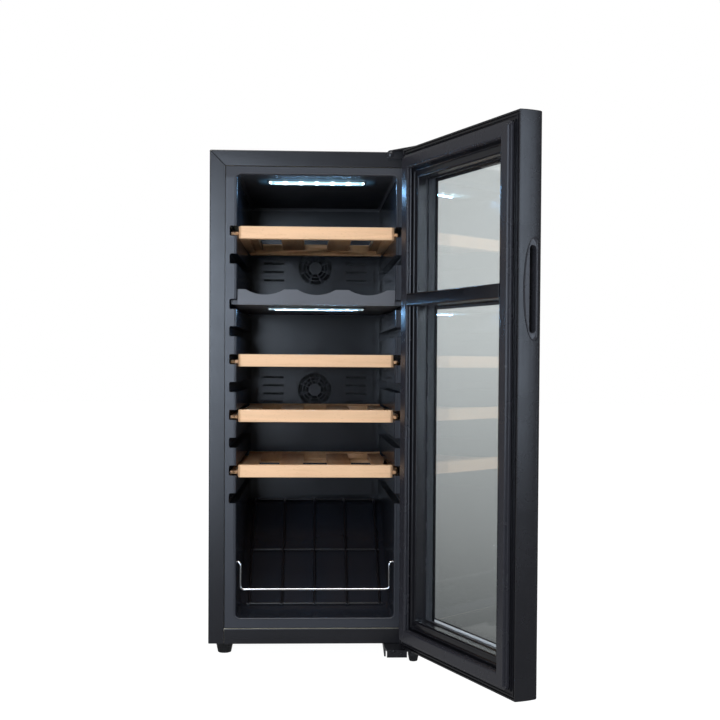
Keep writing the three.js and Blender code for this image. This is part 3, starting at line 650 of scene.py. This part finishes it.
def inner_liner():
    edge = HALF - FLANGE - 0.3
    top = HEIGHT - FLANGE - 0.3
    back = block((-edge, edge), (2.9, 3.6), (25.3, top))
    face = block((-edge + 1.0, edge - 1.0), (LINER_FACE, 3.2), (26.2, top - 1.0))
    (y0, z0), (y1, z1) = SLOPE
    wall = 3.0
    side = [(0.8, z0 - wall), (y0 - 1, z0 - wall), (y1 + 1, z1 - wall), (CAVITY_DEPTH + wall, z1 - wall),
            (CAVITY_DEPTH + wall, OPEN_TOP + wall), (0.8, OPEN_TOP + wall)]
    tub = prism(side, "x", -143, 143)
    lip_rect = (-OPEN_HALF - 1.6, OPEN_HALF + 1.6, OPEN_BOTTOM - 1.6, OPEN_TOP + 1.6)
    bead = [(0.0, 1.6), (0.0, 0.6), (0.2, 0.2), (0.7, -0.05), (1.6, -0.15), (4.4, -0.15), (4.4, 1.6)]
    lip = ring(lip_rect, bead, 10.6)
    channels = []
    for z in CHANNEL_TOPS:
        mouth = rounded(-CHANNEL_HALF, CHANNEL_HALF, z - CHANNEL_HEIGHT, z, 2.8, 5)
        channels.append(prism(mouth, "y", -1.2, CHANNEL_DEPTH))
    solid = cut(cut(joined(face, back, tub, lip), cavity_cutter()), *channels)
    piece("liner", solid, LINER, ["inner_liner"], angle=40)


def front_strip():
    low, high = node_box("bottom_front_strip")
    fold = [(0.3, low.z), (high.y, low.z), (high.y, high.z), (0.9, high.z), (0.3, high.z - 0.6),
            (0.0, high.z - 1.5), (0.0, low.z + 1.0)]
    piece("front_strip", prism(fold, "x", low.x, high.x), SATIN, ["bottom_front_strip"], bevel=0.2)


def base_and_bay():
    carried("base_tray", "base_plate", SATIN, bevel=0.3)
    carried("bay_roof", "bay_panel", ZINC, bevel=0.3)


def rear_panel():
    """Rear sheet with two pressed panels."""
    low, high = node_box("rear_panel")
    sheet = block((low.x, high.x), (high.y - 2.4, high.y - 1.2), (low.z, high.z))
    presses = []
    for x in (-75, 75):
        loops = []
        for grow, y in ((0, high.y - 1.4), (0, high.y - 1.2), (-1.2, high.y - 0.25), (-2.6, high.y)):
            outline = rounded(x - 32 - grow, x + 32 + grow, 218 - grow, 742 + grow, 12 + grow, 5)
            loops.append([(u, y, v) for u, v in outline])
        presses.append(skin(loops))
    solid = joined(sheet, *presses)
    piece("rear_sheet", solid, SATIN, ["rear_panel"], bevel=0.3)


INLET_X, INLET_Z = 130.0, 34.0


def bay_cover():
    """Lower rear cover with pressed louvres under its slots."""
    low, high = node_box("bay_cover")
    sheet = block((low.x, high.x), (low.y, high.y), (low.z, high.z))
    slots, hoods = [], []
    for x in (-110, 0, 110):
        for row in range(6):
            z = 66 + 14 * row
            slots.append(prism(rounded(x - 42, x + 42, z, z + 6, 2.5, 4), "y", low.y - 3, high.y + 3))
            hood = ((-0.2, 9.2), (1.25, 5.4), (0.7, 4.9), (-0.6, 7.6))
            hoods.append(prism([(high.y + dy, z + dz) for dy, dz in hood], "x", x - 40, x + 40))
    hole = block((INLET_X - 14, INLET_X + 14), (low.y - 3, high.y + 3), (INLET_Z - 10.5, INLET_Z + 10.5))
    solid = cut(sheet, hole, *slots)
    piece("rear_grille", together([solid, *hoods]), SATIN, ["bay_cover"], bevel=0.25, segments=1)


def screw_head(axis, centre, seat, direction, radius=3.6):
    """A pan head with a cross recess, standing on a seat."""
    dome = [(radius, 0), (radius, 0.7), (radius * 0.86, 1.3), (radius * 0.5, 1.65), (0.3, 1.75)]
    profile = [(0.3, seat)] + [(r, seat + direction * h) for r, h in dome]
    head = lathe(axis, centre, profile, 28)
    u, v = centre
    recesses = []
    for half_u, half_v in ((radius * 0.55, 0.45), (0.45, radius * 0.55)):
        ends = sorted((seat + direction * 0.7, seat + direction * 3))
        corners = ((-1, -1), (1, -1), (1, 1), (-1, 1))
        recesses.append(prism([(u + half_u * a, v + half_v * b) for a, b in corners], axis, *ends))
    return cut(head, joined(*recesses))


def rear_screws():
    _, high = node_box("rear_panel")
    face = high.y - 1.2
    places = [(x, z) for x in (-160, 0, 160) for z in (178, 785)]
    places += [(x, z) for x in (-160, 160) for z in (380, 590)]
    heads = [screw_head("y", place, face, 1, 3.4) for place in places]
    _, cover = node_box("bay_cover")
    for place in ((-160, 151), (-55, 151), (55, 151), (160, 151), (-160, 16), (0, 16)):
        heads.append(screw_head("y", place, cover.y, 1, 3.4))
    piece("rear_screws", together(heads), STEEL, bevel=0)


# ---- cooling system

def compressor():
    low, high = node_box("compressor")
    x = low.x + 52
    y = (low.y + high.y) / 2
    lower = [(0.5, 16), (38, 16), (44, 18), (48.5, 22), (51, 28), (52, 36), (52, 64)]
    weld = [(53.2, 65), (54, 67), (54, 70), (53.2, 72), (52, 73)]
    upper = [(51.6, 96), (49.5, 105), (44, 113), (34, 118.5), (20, 121), (0.5, 122)]
    pot = lathe("z", (x, y), [(r * 0.963, z) for r, z in lower + weld + upper], 56)
    terminals = block((x + 40, x + 61), (y - 15, y + 15), (45, 81))
    stubs = [tube([(x - 20, y - 38, 88), (x - 26, y - 44, 100), (x - 26, y - 42, 112)], 3.2, 4),
             tube([(x + 10, y - 42, 50), (x + 10, y - 49, 56), (x - 8, y - 49, 70)], 3.0, 4)]
    piece("compressor_pot", joined(pot, terminals), ENAMEL, ["compressor"], bevel=0.8)
    piece("compressor_pipes", together(stubs), COPPER, bevel=0)
    carried("compressor_feet", "compressor_base", ZINC, bevel=0.4)


def condenser():
    low, high = node_box("condenser")
    x = (low.x + high.x) / 2
    points = []
    for row, z in enumerate((30, 52, 74, 96, 118)):
        ends = (320, 428) if row % 2 == 0 else (428, 320)
        points += [(x, ends[0], z), (x, ends[1], z)]
    piece("condenser_coil", tube(points, 3.5, 7, 16), COPPER, ["condenser"], bevel=0)
    fins = [block((x - 22, x + 22), (y, y + 0.5), (24, 124)) for y in range(338, 416, 5)]
    piece("condenser_fins", together(fins), ZINC, bevel=0.08, segments=1)


def fan_rotor(name, node, body, axis, count):
    """Hub and swept, pitched blades between the CAD rotor's limits."""
    low, high = node_box(node)
    centre = (low + high) / 2
    size = high - low
    width, across = (size.x, size.y) if axis == "x" else (size.y, size.z)
    radius = min(across, size.z) / 2
    hub = radius * 0.33
    half = width * 0.42
    front = [(0.3, -half), (hub * 0.92, -half), (hub, -half + 0.8)]
    profile = front + [(r, -y) for r, y in reversed(front)]
    parts = [lathe("y", (0, 0), profile, 32)]
    for i in range(count):
        loops = []
        for step in range(7):
            t = step / 6
            r = hub - 0.8 + (radius - hub + 0.2) * t
            sweep = math.radians(18) * t
            chord = math.radians(46 - 10 * t) / 2
            rise = half * (0.85 - 0.25 * t)
            section = [(-chord, -rise, -0.6), (-chord * 0.2, rise * 0.1, -0.8), (chord, rise, -0.4),
                       (chord, rise, 0.4), (-chord * 0.2, rise * 0.1, 0.8), (-chord, -rise, 0.6)]
            loop = []
            for swing, along, thick in section:
                a = sweep + swing + 2 * math.pi * i / count
                loop.append((r * math.cos(a), along + thick, r * math.sin(a)))
            loops.append(loop)
        parts.append(skin(loops))
    solid = together(parts)
    if axis == "x":
        solid.transform(Matrix.Rotation(math.pi / 2, 4, "Z"))
    solid.transform(Matrix.Translation(centre))
    piece(name, solid, PLASTIC, [node], body, bevel=0.15, segments=1)


def bay_fittings():
    carried("condenser_fan_frame", "condenser_fan_shroud", PLASTIC, bevel=0.6)
    carried("drip_tray", "evaporation_tray", PLASTIC)
    carried("control_housing", "control_box", PLASTIC, bevel=1.0)
    carried("power_inlet", "mains_inlet", PLASTIC, bevel=0.25, segments=1)


# ---- inside the tub

FAN_HEIGHTS = {"upper": 640, "lower": 405}


def duct_panel(name, node, fan_z):
    """Hollow moulded cover: a fan grille of rings and spokes between two rows of outlet slots."""
    low, high = node_box(node)
    body = block((low.x, high.x), (low.y, high.y), (low.z, high.z))
    hollow = block((low.x + 2, high.x - 2), (low.y + 2, high.y + 2), (low.z + 2, high.z - 2))
    window = cylinder("y", (0, fan_z), low.y - 3, low.y + 6, 32.5, 48)
    slots = []
    for x in (-80, 80):
        for z in (fan_z - 24, fan_z - 8, fan_z + 8, fan_z + 24):
            slots.append(prism(rounded(x - 20, x + 20, z - 2, z + 2, 1.9, 4), "y", low.y - 3, low.y + 6))
    panel = cut(body, hollow, window, *slots)
    rings = []
    for radius in (12, 18.5, 25):
        outer = cylinder("y", (0, fan_z), low.y, low.y + 1.8, radius, 40)
        inner = cylinder("y", (0, fan_z), low.y - 1, low.y + 3, radius - 1.5, 40)
        rings.append(cut(outer, inner))
    spokes = []
    for i in range(4):
        spoke = block((-33.5, 33.5), (low.y + 0.1, low.y + 1.7), (-0.9, 0.9))
        turn = Matrix.Rotation(math.radians(22.5 + 45 * i), 4, "Y")
        spoke.transform(Matrix.Translation((0, 0, fan_z)) @ turn)
        spokes.append(spoke)
    hub = cylinder("y", (0, fan_z), low.y, low.y + 3.4, 11, 32)
    piece(name, joined(panel, *rings, *spokes, hub), LINER, [node])


def zone_fittings():
    for zone, fan_z in FAN_HEIGHTS.items():
        duct_panel(f"{zone}_air_cover", f"{zone}_duct_panel", fan_z)
    for zone in FAN_HEIGHTS:
        carried(f"{zone}_cold_plate", f"{zone}_evaporator", COATED, bevel=0.2, segments=1)
    for zone in FAN_HEIGHTS:
        fan_rotor(f"{zone}_fan_wheel", f"{zone}_duct_fan", f"{zone}_fan_rotor", "y", 7)
    fan_rotor("condenser_fan_wheel", "condenser_fan", "condenser_fan_rotor", "x", 5)


BOTTLE_PITCH = 83.5


def hollowed(half, bottom, top, hollow_half, hollow_depth):
    """A board's front outline with three shallow hollows in its upper edge."""
    radius = (hollow_half ** 2 + hollow_depth ** 2) / (2 * hollow_depth)
    swing = math.degrees(math.asin(hollow_half / radius))
    outline = [(-half, bottom), (half, bottom), (half, top)]
    for x in (BOTTLE_PITCH, 0, -BOTTLE_PITCH):
        outline += arc((x, top + radius - hollow_depth), radius, swing - 90, -swing - 90, 14)
    return outline + [(-half, top)]


def zone_divider():
    low, high = node_box("zone_divider")
    board = prism(hollowed(127.6, low.z, high.z, 31, 8.6), "y", low.y, high.y)
    tongues = prism(rounded(low.x, high.x, low.z + 0.5, low.z + 8.0, 1.5, 3), "y", 14, 330)
    piece("divider", joined(board, tongues), GREY, ["zone_divider"], bevel=1.0, segments=3)


def diode_light(zone, low, high):
    """The lamp's light just under its lens, leaning out of the cabinet."""
    obj = area_light(f"{zone}_diodes", (high.x - low.x - 20) * MM, 0.007, 105, (0.26, 0.56, 1.0))
    obj.location = CABINET @ Vector((0, (low.y + high.y) / 2, low.z - 0.6))
    obj.rotation_euler = (math.radians(-22), 0, 0)
    obj.visible_camera = False
    obj.visible_transmission = False


def lamps():
    for zone in ("upper", "lower"):
        low, high = node_box(f"{zone}_lamp_housing")
        base = prism(rounded(low.x, high.x, low.y, high.y, 5, 5), "z", low.z, high.z)
        piece(f"{zone}_lamp_tray", base, PLASTIC, [f"{zone}_lamp_housing"])
        low, high = node_box(f"{zone}_lamp_lens")
        loops = []
        for inset, z in ((0, high.z), (0, low.z + 1.3), (0.6, low.z + 0.5), (1.8, low.z)):
            outline = rounded(low.x + inset, high.x - inset, low.y + inset, high.y - inset, 11 - inset, 10)
            loops.append([(x, y, z) for x, y in outline])
        diode_light(zone, low, high)
        piece(f"{zone}_lamp_strip", skin(loops), LENS, [f"{zone}_lamp_lens"], bevel=0)


def wires():
    low, high = node_box("bottle_stop_wire")
    radius = 2.0
    side = 121.5
    top, bottom = high.z - radius, low.z + radius
    hook = high.x - 0.2
    left = [(-hook, 16, top), (-side, 14, top), (-side, 12, bottom)]
    path = left + [(-x, y, z) for x, y, z in reversed(left)]
    piece("stop_wire", tube(path, radius, 6, 20), CHROME, ["bottle_stop_wire"], bevel=0)
    (y0, z0), (y1, z1) = SLOPE
    lift = 5
    rack = []
    for x in (-112, -56, 0, 56, 112):
        bends = ((92, z0), (y0 - 2, z0), (y1 - 2, z1), (360, z1))
        rack.append(tube([(x, y, z + lift) for y, z in bends], 2.0, 8, 14))
    for y, z in ((98, z0), ((y0 + y1) / 2 - 2, (z0 + z1) / 2), (355, z1)):
        rack.append(tube([(-116, y, z + lift), (116, y, z + lift)], 1.9, 1, 14))
    piece("rest_rack", together(rack), SATIN, ["bottle_rest_rack"], bevel=0)


# ---- shelves

def shelf(number):
    body = f"shelf_{number}"
    low, high = node_box(f"{body}_front_rail")
    slant = 4.0
    outline = [(low.x + slant, low.y), (high.x - slant, low.y), (high.x, low.y + slant), (high.x, high.y),
               (low.x, high.y), (low.x, low.y + slant)]
    rail = prism(outline, "z", low.z, high.z)
    piece(f"{body}_rail", rail, BEECH_RAIL, [f"{body}_front_rail"], body, bevel=0.9, segments=3)
    carried(f"{body}_slats", f"{body}_rack", SHADED_BEECH_SLAT, body, bevel=0.6)


# ---- door

DOOR_RECT = (DOOR_LOW.x, DOOR_HIGH.x, DOOR_LOW.z, DOOR_HIGH.z)
FRONT, BACK = DOOR_LOW.y, DOOR_HIGH.y
PANE_BACK = -28.6
PRINT_HALF = 107.5
PRINT_SIDE = 8.5
SPACER_WIDTH = 16.5
GRIP_LOW, GRIP_HIGH = 498.0, 616.0
GRIP_Y = (-38.0, -27.5)
GRIP_DEPTH = 16.0
WINDOW_INSET = HALF - 120.5


def grip_outline(grow):
    """D shape: straight towards the door's front, bulging towards its back."""
    middle = (GRIP_LOW + GRIP_HIGH) / 2
    half = 70 + grow
    straight = GRIP_Y[0] - 3 - grow
    bulge = -17.5 + grow
    a, b, c, d = (Vector(place) for place in (
        (straight + 5, -half), (grow - 23, -half), (bulge, -34), (bulge, 0)))
    lower = [(straight, 5 - half)]
    for i in range(13):
        t = i / 12
        u = 1 - t
        lower.append(tuple(a * u ** 3 + b * 3 * t * u * u + c * 3 * t * t * u + d * t ** 3))
    outline = lower + [(y, -z) for y, z in reversed(lower[:-1])]
    return [(y, middle + z) for y, z in outline]


def slot_outline(grow):
    return rounded(GRIP_Y[0] - grow, GRIP_Y[1] + grow, GRIP_LOW - grow, GRIP_HIGH + grow, 4.6 + grow, 8)


def door_cuts():
    """The finger slot and the hinge bushes' pockets, cut from both frames of the door."""
    slot = prism(slot_outline(1.8), "x", DOOR_LOW.x - 1, DOOR_LOW.x + GRIP_DEPTH + 2)
    ends = ((0, DOOR_LOW.z + 18), (DOOR_HIGH.z - 18, DOOR_HIGH.z + 2))
    return [slot] + [cylinder("z", HINGE_AXIS, low, high, 6.8) for low, high in ends]


def door_frame():
    """Outer frame: rounded front edge, a fine line 5 mm behind it, a lip round the back."""
    ledge = 37.2
    rear = ((3.0, 0), (1.0, 0), (0.45, -0.6), (0.2, -6.0), (0.06, -12.0), (0.0, -17.0), (0.06, -23.0))
    front = ((0.3, 5.8), (0.65, 5.6), (0.65, 5.3), (0.35, 5.1), (0.5, 3.2), (1.1, 1.6), (2.2, 0.6),
             (4.0, 0), (14.0, 0), (14.5, 0.5))
    profile = [(inset, BACK + rise) for inset, rise in rear]
    profile += [(inset, FRONT + rise) for inset, rise in front]
    profile += [(14.5, -41.8), (ledge, -41.8), (ledge, PANE_BACK), (3.0, PANE_BACK)]
    seat = prism(grip_outline(0.3), "x", DOOR_LOW.x - 1, DOOR_LOW.x + 2.8)
    solid = cut(ring(DOOR_RECT, profile, 1.2, steps=4), seat, *door_cuts())
    piece("door_shell", solid, PROFILE, ["door_frame"], "door", bevel=0)


def door_moulding():
    """Inner frame: outer bead, seal groove, inner bead, and a rounded edge down to the pane."""
    deep = PANE_BACK + 0.3
    w = WINDOW_INSET
    shape = ((3.3, -2.2), (6.0, -2.2), (6.0, -0.5), (6.2, -0.2), (7.1, -0.2), (7.6, -0.6), (8.2, -1.8),
             (11.6, -2.0), (11.9, -1.8), (12.0, 0.3), (12.4, 0.6), (14.0, 0.5), (14.6, 0), (20.5, 0),
             (20.5, -4), (28.5, -4), (28.5, 0), (36.0, 0), (36.3, -1.6), (37.5, -1.6), (37.8, -0.4),
             (38.4, 0.6), (39.4, 1.0), (40.4, 0.7), (41.2, -0.2), (41.6, -1.4), (w - 5.2, -1.4),
             (w - 4.6, -0.4))
    edge = arc((w - 2.4, BACK - 2.8), 2.4, 90, 0, 6)
    profile = [(3.3, deep)] + [(inset, BACK + rise) for inset, rise in shape] + edge
    profile += [(w, deep + 3.4), (w + 0.4, deep + 2.8), (w + 1.4, deep + 2.3), (w + 1.6, deep)]
    solid = cut(ring(DOOR_RECT, profile, 0.3, steps=1), *door_cuts())
    piece("door_lining", solid, BORDER, ["door_inner_frame"], "door", bevel=0)


def door_seal():
    """Magnetic seal: dart in the groove, bellows, and the magnet pocket on top."""
    base = BACK + 0.3
    shape = ((22.4, -3.6), (22.4, 0.2), (15.6, 0.2), (15.2, 0.7), (13.6, 0.9), (13.0, 1.1), (12.8, 1.5),
             (12.8, 5.2), (13.1, 5.6), (13.6, 5.8), (16.4, 5.9), (16.7, 6.2), (16.7, 9.0), (17.0, 9.45),
             (17.7, 9.6), (19.4, 9.4), (31.2, 9.4), (32.8, 9.2), (34.1, 8.5), (34.8, 7.5), (35.0, 6.0),
             (34.6, 4.4), (33.8, 3.6), (33.8, 3.1), (34.6, 2.4), (34.8, 1.2), (33.6, 0.2), (26.6, 0.2),
             (26.6, -3.6))
    profile = [(inset, base + rise) for inset, rise in shape]
    seal = ring(DOOR_RECT, profile, 20.5, steps=8)
    piece("door_seal", seal, SEAL, ["door_gasket"], "door", bevel=0)


def panes():
    for name, node in (("front_pane", "outer_glass"), ("rear_pane", "inner_glass")):
        low, high = node_box(node, DOOR)
        sheet = prism(rounded(low.x, high.x, low.z, high.z, 2, 4), "y", low.y, high.y)
        obj = piece(name, sheet, GLASS, [node], "door", segments=1)
        obj.visible_shadow = False
    low, high = node_box("outer_glass", DOOR)
    inset = (high.x - low.x) / 2 - PRINT_SIDE - PRINT_HALF
    near, far = high.y + 0.05, high.y + 0.18
    rect = (low.x + PRINT_SIDE, high.x - PRINT_SIDE, low.z + 0.6, high.z - 0.6)
    border = ring(rect, [(0, near), (inset, near), (inset, far), (0, far)], 1.5, steps=3)
    bar_low, bar_high = node_box("mullion_bar", DOOR)
    band = block((low.x + 20, high.x - 20), (near, far), (bar_low.z - 5.0, bar_high.z - 3.0))
    piece("pane_print", joined(border, band), PRINT, (), "door", bevel=0)


def glazing_spacer():
    """Black spacer, and the two silver bars behind the outer pane at its top and bottom."""
    low, high = node_box("glazing_spacer", DOOR)
    back, front = high.y - 0.9, low.y + 0.9
    left, right = low.x + SPACER_WIDTH, high.x - SPACER_WIDTH
    sides = (((left, right), (low.z, low.z + 10)), ((left, right), (high.z - 10, high.z)),
             ((low.x, left), (low.z, high.z)), ((right, high.x), (low.z, high.z)))
    bars = [block(x, (front, back), z) for x, z in sides]
    piece("spacer_frame", together(bars), SPACER_DARK, ["glazing_spacer"], "door", bevel=0.7)
    near, far = back - 0.1, high.y + 0.2
    band = ring((low.x, high.x, low.z, high.z), [(0.5, near), (9.0, near), (9.0, far), (0.5, far)], 1,
                steps=2)
    piece("rear_sealant", band, SEAL, (), "door", bevel=0)
    pane_low, pane_high = node_box("outer_glass", DOOR)
    inset = (pane_high.x - pane_low.x) / 2 - PRINT_SIDE - PRINT_HALF + 0.6
    top, bottom = pane_high.z - inset, pane_low.z + inset
    heights = ((top + 6.0, top + 7.6), (top + 9.4, top + 15.5), (bottom - 6.4, bottom - 2.4),
               (bottom - 17.5, bottom - 10.3))
    gap = (pane_high.y + 0.3, pane_high.y + 1.0)
    strips = [block((-PRINT_HALF, PRINT_HALF), gap, z) for z in heights]
    piece("spacer_bars", together(strips), SPACER, (), "door", bevel=0.2)


def mullion():
    low, high = node_box("mullion_bar", DOOR)
    z0, z1 = low.z, high.z
    edge = [(PANE_BACK + 0.3, 0), (-9, 0), (-2.5, 0.4), (-1.0, 1.2), (high.y, 3.0)]
    outline = [(y, z0 + dz) for y, dz in edge] + [(y, z1 - dz) for y, dz in reversed(edge)]
    bar = prism(outline, "x", low.x, high.x)
    ends = [block(x, (-40, BACK + 0.3), (z0 - 1, z1 + 1))
            for x in ((low.x - 1, -120.2), (120.2, high.x + 1))]
    piece("mullion", cut(bar, *ends), BORDER, ["mullion_bar"], "door", bevel=0.4)


def grip():
    """Dished D-shaped surround with a raised rim, and the finger slot's cup."""
    face = DOOR_LOW.x
    rim = ((2.4, -0.3), (0.4, -0.3), (0, -0.5), (-0.15, -0.9), (0, -1.3), (0.5, -1.9), (0.9, -2.6),
           (1.15, -3.4))
    dish = skin([[(face + depth, y, z) for y, z in grip_outline(grow)] for depth, grow in rim])
    cup = prism(slot_outline(1.5), "x", face + 1.0, face + GRIP_DEPTH + 1.7)
    solid = cut(joined(dish, cup), prism(slot_outline(0), "x", face - 2, face + GRIP_DEPTH))
    piece("grip_surround", solid, GRIP, ["handle_insert"], "door", segments=3)


def hinge_bushes():
    for name in ("upper_hinge_bush", "lower_hinge_bush"):
        low, high = node_box(name, DOOR)
        outer = cylinder("z", HINGE_AXIS, low.z, high.z, 6.5, 36)
        bore = cylinder("z", HINGE_AXIS, low.z - 1, high.z + 1, 4.4, 36)
        piece(f"{name}_sleeve", cut(outer, bore), PLASTIC, [name], "door", bevel=0.2)


# ---- hinges and feet

def hinges():
    low, high = node_box("top_hinge_bracket")
    top, under = high.z, HEIGHT + 0.3
    outline = [(121, 30), (119, 27), (119, 2), (121, -2.8), (149, -36), (155, -43), (167, -43), (171, -38),
               (171, 30)]
    plate = prism(outline, "z", under, top)
    lip = prism(rounded(low.x, high.x, low.z, top - 0.4, 6.5, 7), "y", -2.8, -0.3)
    stud = [(0.3, -0.3), (4.6, -0.3), (4.4, -3.1), (2.6, -3.7), (0.3, -3.9)]
    dimple = lathe("y", (low.x + 7, (low.z + top) / 2), stud, 28)
    solid = cut(joined(plate, lip, dimple), cylinder("z", HINGE_AXIS, under - 1, top + 1, 4.3))
    piece("upper_hinge_plate", solid, SATIN, ["top_hinge_bracket"], bevel=0.7)
    heads = [screw_head("y", (125.5, -2.4), -46, -1, 3.0), screw_head("y", (137.5, -7.2), -46, -1, 2.6)]
    piece("lower_hinge_screws", together(heads), SATIN, bevel=0)
    carried("lower_hinge_plate", "bottom_hinge_bracket", SATIN, bevel=0.6)
    for name in ("top_hinge_pin", "bottom_hinge_pin"):
        carried(f"{name}_turned", name, STEEL)
    for side in ("left", "right"):
        node = f"top_hinge_screw_{side}"
        low, high = node_box(node)
        centre = ((low + high) / 2).xy
        shank = cylinder("z", centre, low.z, high.z - 1.4, 2.2, 20)
        head = screw_head("z", centre, high.z - 1.5, 1, 4.0)
        piece(f"{node}_head", together([shank, head]), BLACK_SCREW, [node], bevel=0)


def foot(node, sole, shoulder):
    """A ribbed pad widening from its sole to its shoulder (shares of its radius and height)."""
    low, high = node_box(node)
    centre = ((low + high) / 2).xy
    r, tall = (high.x - low.x) / 2, high.z - low.z
    profile = [(0.3, low.z), (r * sole - 0.8, low.z), (r * sole, low.z + 0.8)]
    for i in range(1, 5):
        share = i / 5
        width = r * (sole + (1 - sole) * share)
        z = low.z + tall * shoulder * share
        profile += [(width, z), (width - 0.5, z + 0.5), (width, z + 1.0)]
    profile += [(r, low.z + tall * shoulder + 1.0), (r, high.z - 1.0), (r - 0.6, high.z), (0.3, high.z)]
    piece(f"{node}_pad", lathe("z", centre, profile, 44), RUBBER, [node], bevel=0)


def feet():
    for node in ("front_left_foot", "rear_left_foot", "rear_right_foot"):
        foot(node, 0.78, 0.75)
    foot("hinge_foot", 0.76, 0.55)


# ---- camera, floor and light

CAMERA_PLACE = (-0.0745, -1.9797, 0.4748)
CAMERA_TURN = (-2.45, -1.32, -0.36)
LENS_MM = 59.525
LENS_SHIFT = 0.044


def camera():
    yaw, pitch, roll = (math.radians(angle) for angle in CAMERA_TURN)
    turn = Matrix.Rotation(yaw, 4, "Z") @ Matrix.Rotation(pitch, 4, "X") @ Matrix.Rotation(roll, 4, "Y")
    data = bpy.data.cameras.new("camera")
    data.lens = LENS_MM
    data.sensor_width = 36
    data.shift_y = LENS_SHIFT
    obj = bpy.data.objects.new("camera", data)
    obj.matrix_world = Matrix.Translation(CAMERA_PLACE) @ turn @ Matrix.Rotation(math.pi / 2, 4, "X")
    scene.collection.objects.link(obj)
    scene.camera = obj


def floor():
    bm = bmesh.new()
    bmesh.ops.create_grid(bm, x_segments=2, y_segments=2, size=12)
    obj = helper(bm)
    obj.name = "floor"
    s = Shader("floor", Roughness=0.7, Emission_Color=(1, 1, 1, 1), Emission_Strength=0.97)
    s.join(s.blend(s.noise(3, 2), (0.27, 0.27, 0.27), (0.29, 0.29, 0.29)), "Base Color")
    obj.data.materials.append(s.material)
    obj.visible_glossy = False
    obj.visible_transmission = False


def area_light(name, width, height, radiance, colour):
    """A rectangular light whose face has the given brightness."""
    data = bpy.data.lights.new(name, "AREA")
    data.shape = "RECTANGLE"
    data.size = width
    data.size_y = height
    data.energy = radiance * math.pi * width * height
    data.color = colour
    obj = bpy.data.objects.new(name, data)
    scene.collection.objects.link(obj)
    return obj


def softbox(name, place, target, width, height, radiance, colour=(1, 1, 1)):
    obj = area_light(name, width, height, radiance, colour)
    obj.location = place
    obj.rotation_euler = (Vector(target) - Vector(place)).to_track_quat("-Z", "Y").to_euler()


COOL = (0.71, 0.83, 1.0)


def studio():
    softbox("left_box", (-0.60, -2.05, 0.76), (-0.6, 0, 0.76), 0.64, 0.56, 10.4, COOL)
    softbox("left_lower_box", (-0.60, -2.05, 0.25), (-0.6, 0, 0.25), 0.64, 0.44, 4.5, COOL)
    softbox("right_box", (1.60, -1.72, 0.78), (0.2, -0.3, 0.5), 0.7, 1.1, 3.6, COOL)
    softbox("overhead", (-0.3, -1.4, 2.6), (-0.05, -0.1, 0.4), 1.8, 1.2, 6.0)
    world()


def world():
    """White behind the object; softer ramps for what its surfaces and panes see of the room."""
    studio_world = bpy.data.worlds.new("studio")
    scene.world = studio_world
    studio_world.use_nodes = True
    tree = studio_world.node_tree
    nodes, links = tree.nodes, tree.links
    direction = nodes.new("ShaderNodeSeparateXYZ")
    links.new(nodes.new("ShaderNodeTexCoord").outputs["Generated"], direction.inputs["Vector"])
    room = map_range(tree, direction.outputs["Y"], (-0.6, 0.45), (0.12, 0.27))
    beyond = map_range(tree, direction.outputs["Z"], (-0.24, 0.03), (0.14, 0.88))
    ray = nodes.new("ShaderNodeLightPath")
    through = nodes.new("ShaderNodeMix")
    links.new(ray.outputs["Is Transmission Ray"], through.inputs["Factor"])
    links.new(room, through.inputs["A"])
    links.new(beyond, through.inputs["B"])
    level = nodes.new("ShaderNodeMix")
    links.new(ray.outputs["Is Camera Ray"], level.inputs["Factor"])
    links.new(through.outputs["Result"], level.inputs["A"])
    level.inputs["B"].default_value = 1.0
    links.new(level.outputs["Result"], nodes["Background"].inputs["Strength"])
    nodes["Background"].inputs["Color"].default_value = (1, 1, 1, 1)
    scene.view_settings.view_transform = "Standard"


# ---- assembly

camera()
floor()
studio()
for build in (outer_shell, dark_seam_shade_strips, inner_liner, front_strip, base_and_bay, rear_panel, bay_cover,
              rear_screws, compressor, condenser, bay_fittings, zone_fittings, zone_divider, lamps, wires):
    build()
for number in range(1, 5):
    shelf(number)
for build in (door_frame, door_moulding, door_seal, panes, glazing_spacer, mullion, grip, hinge_bushes,
              hinges, feet):
    build()
foam_materials = frame["nodes"]["insulation_foam"].data.materials
foam_materials.clear()
foam_materials.append(FOAM)
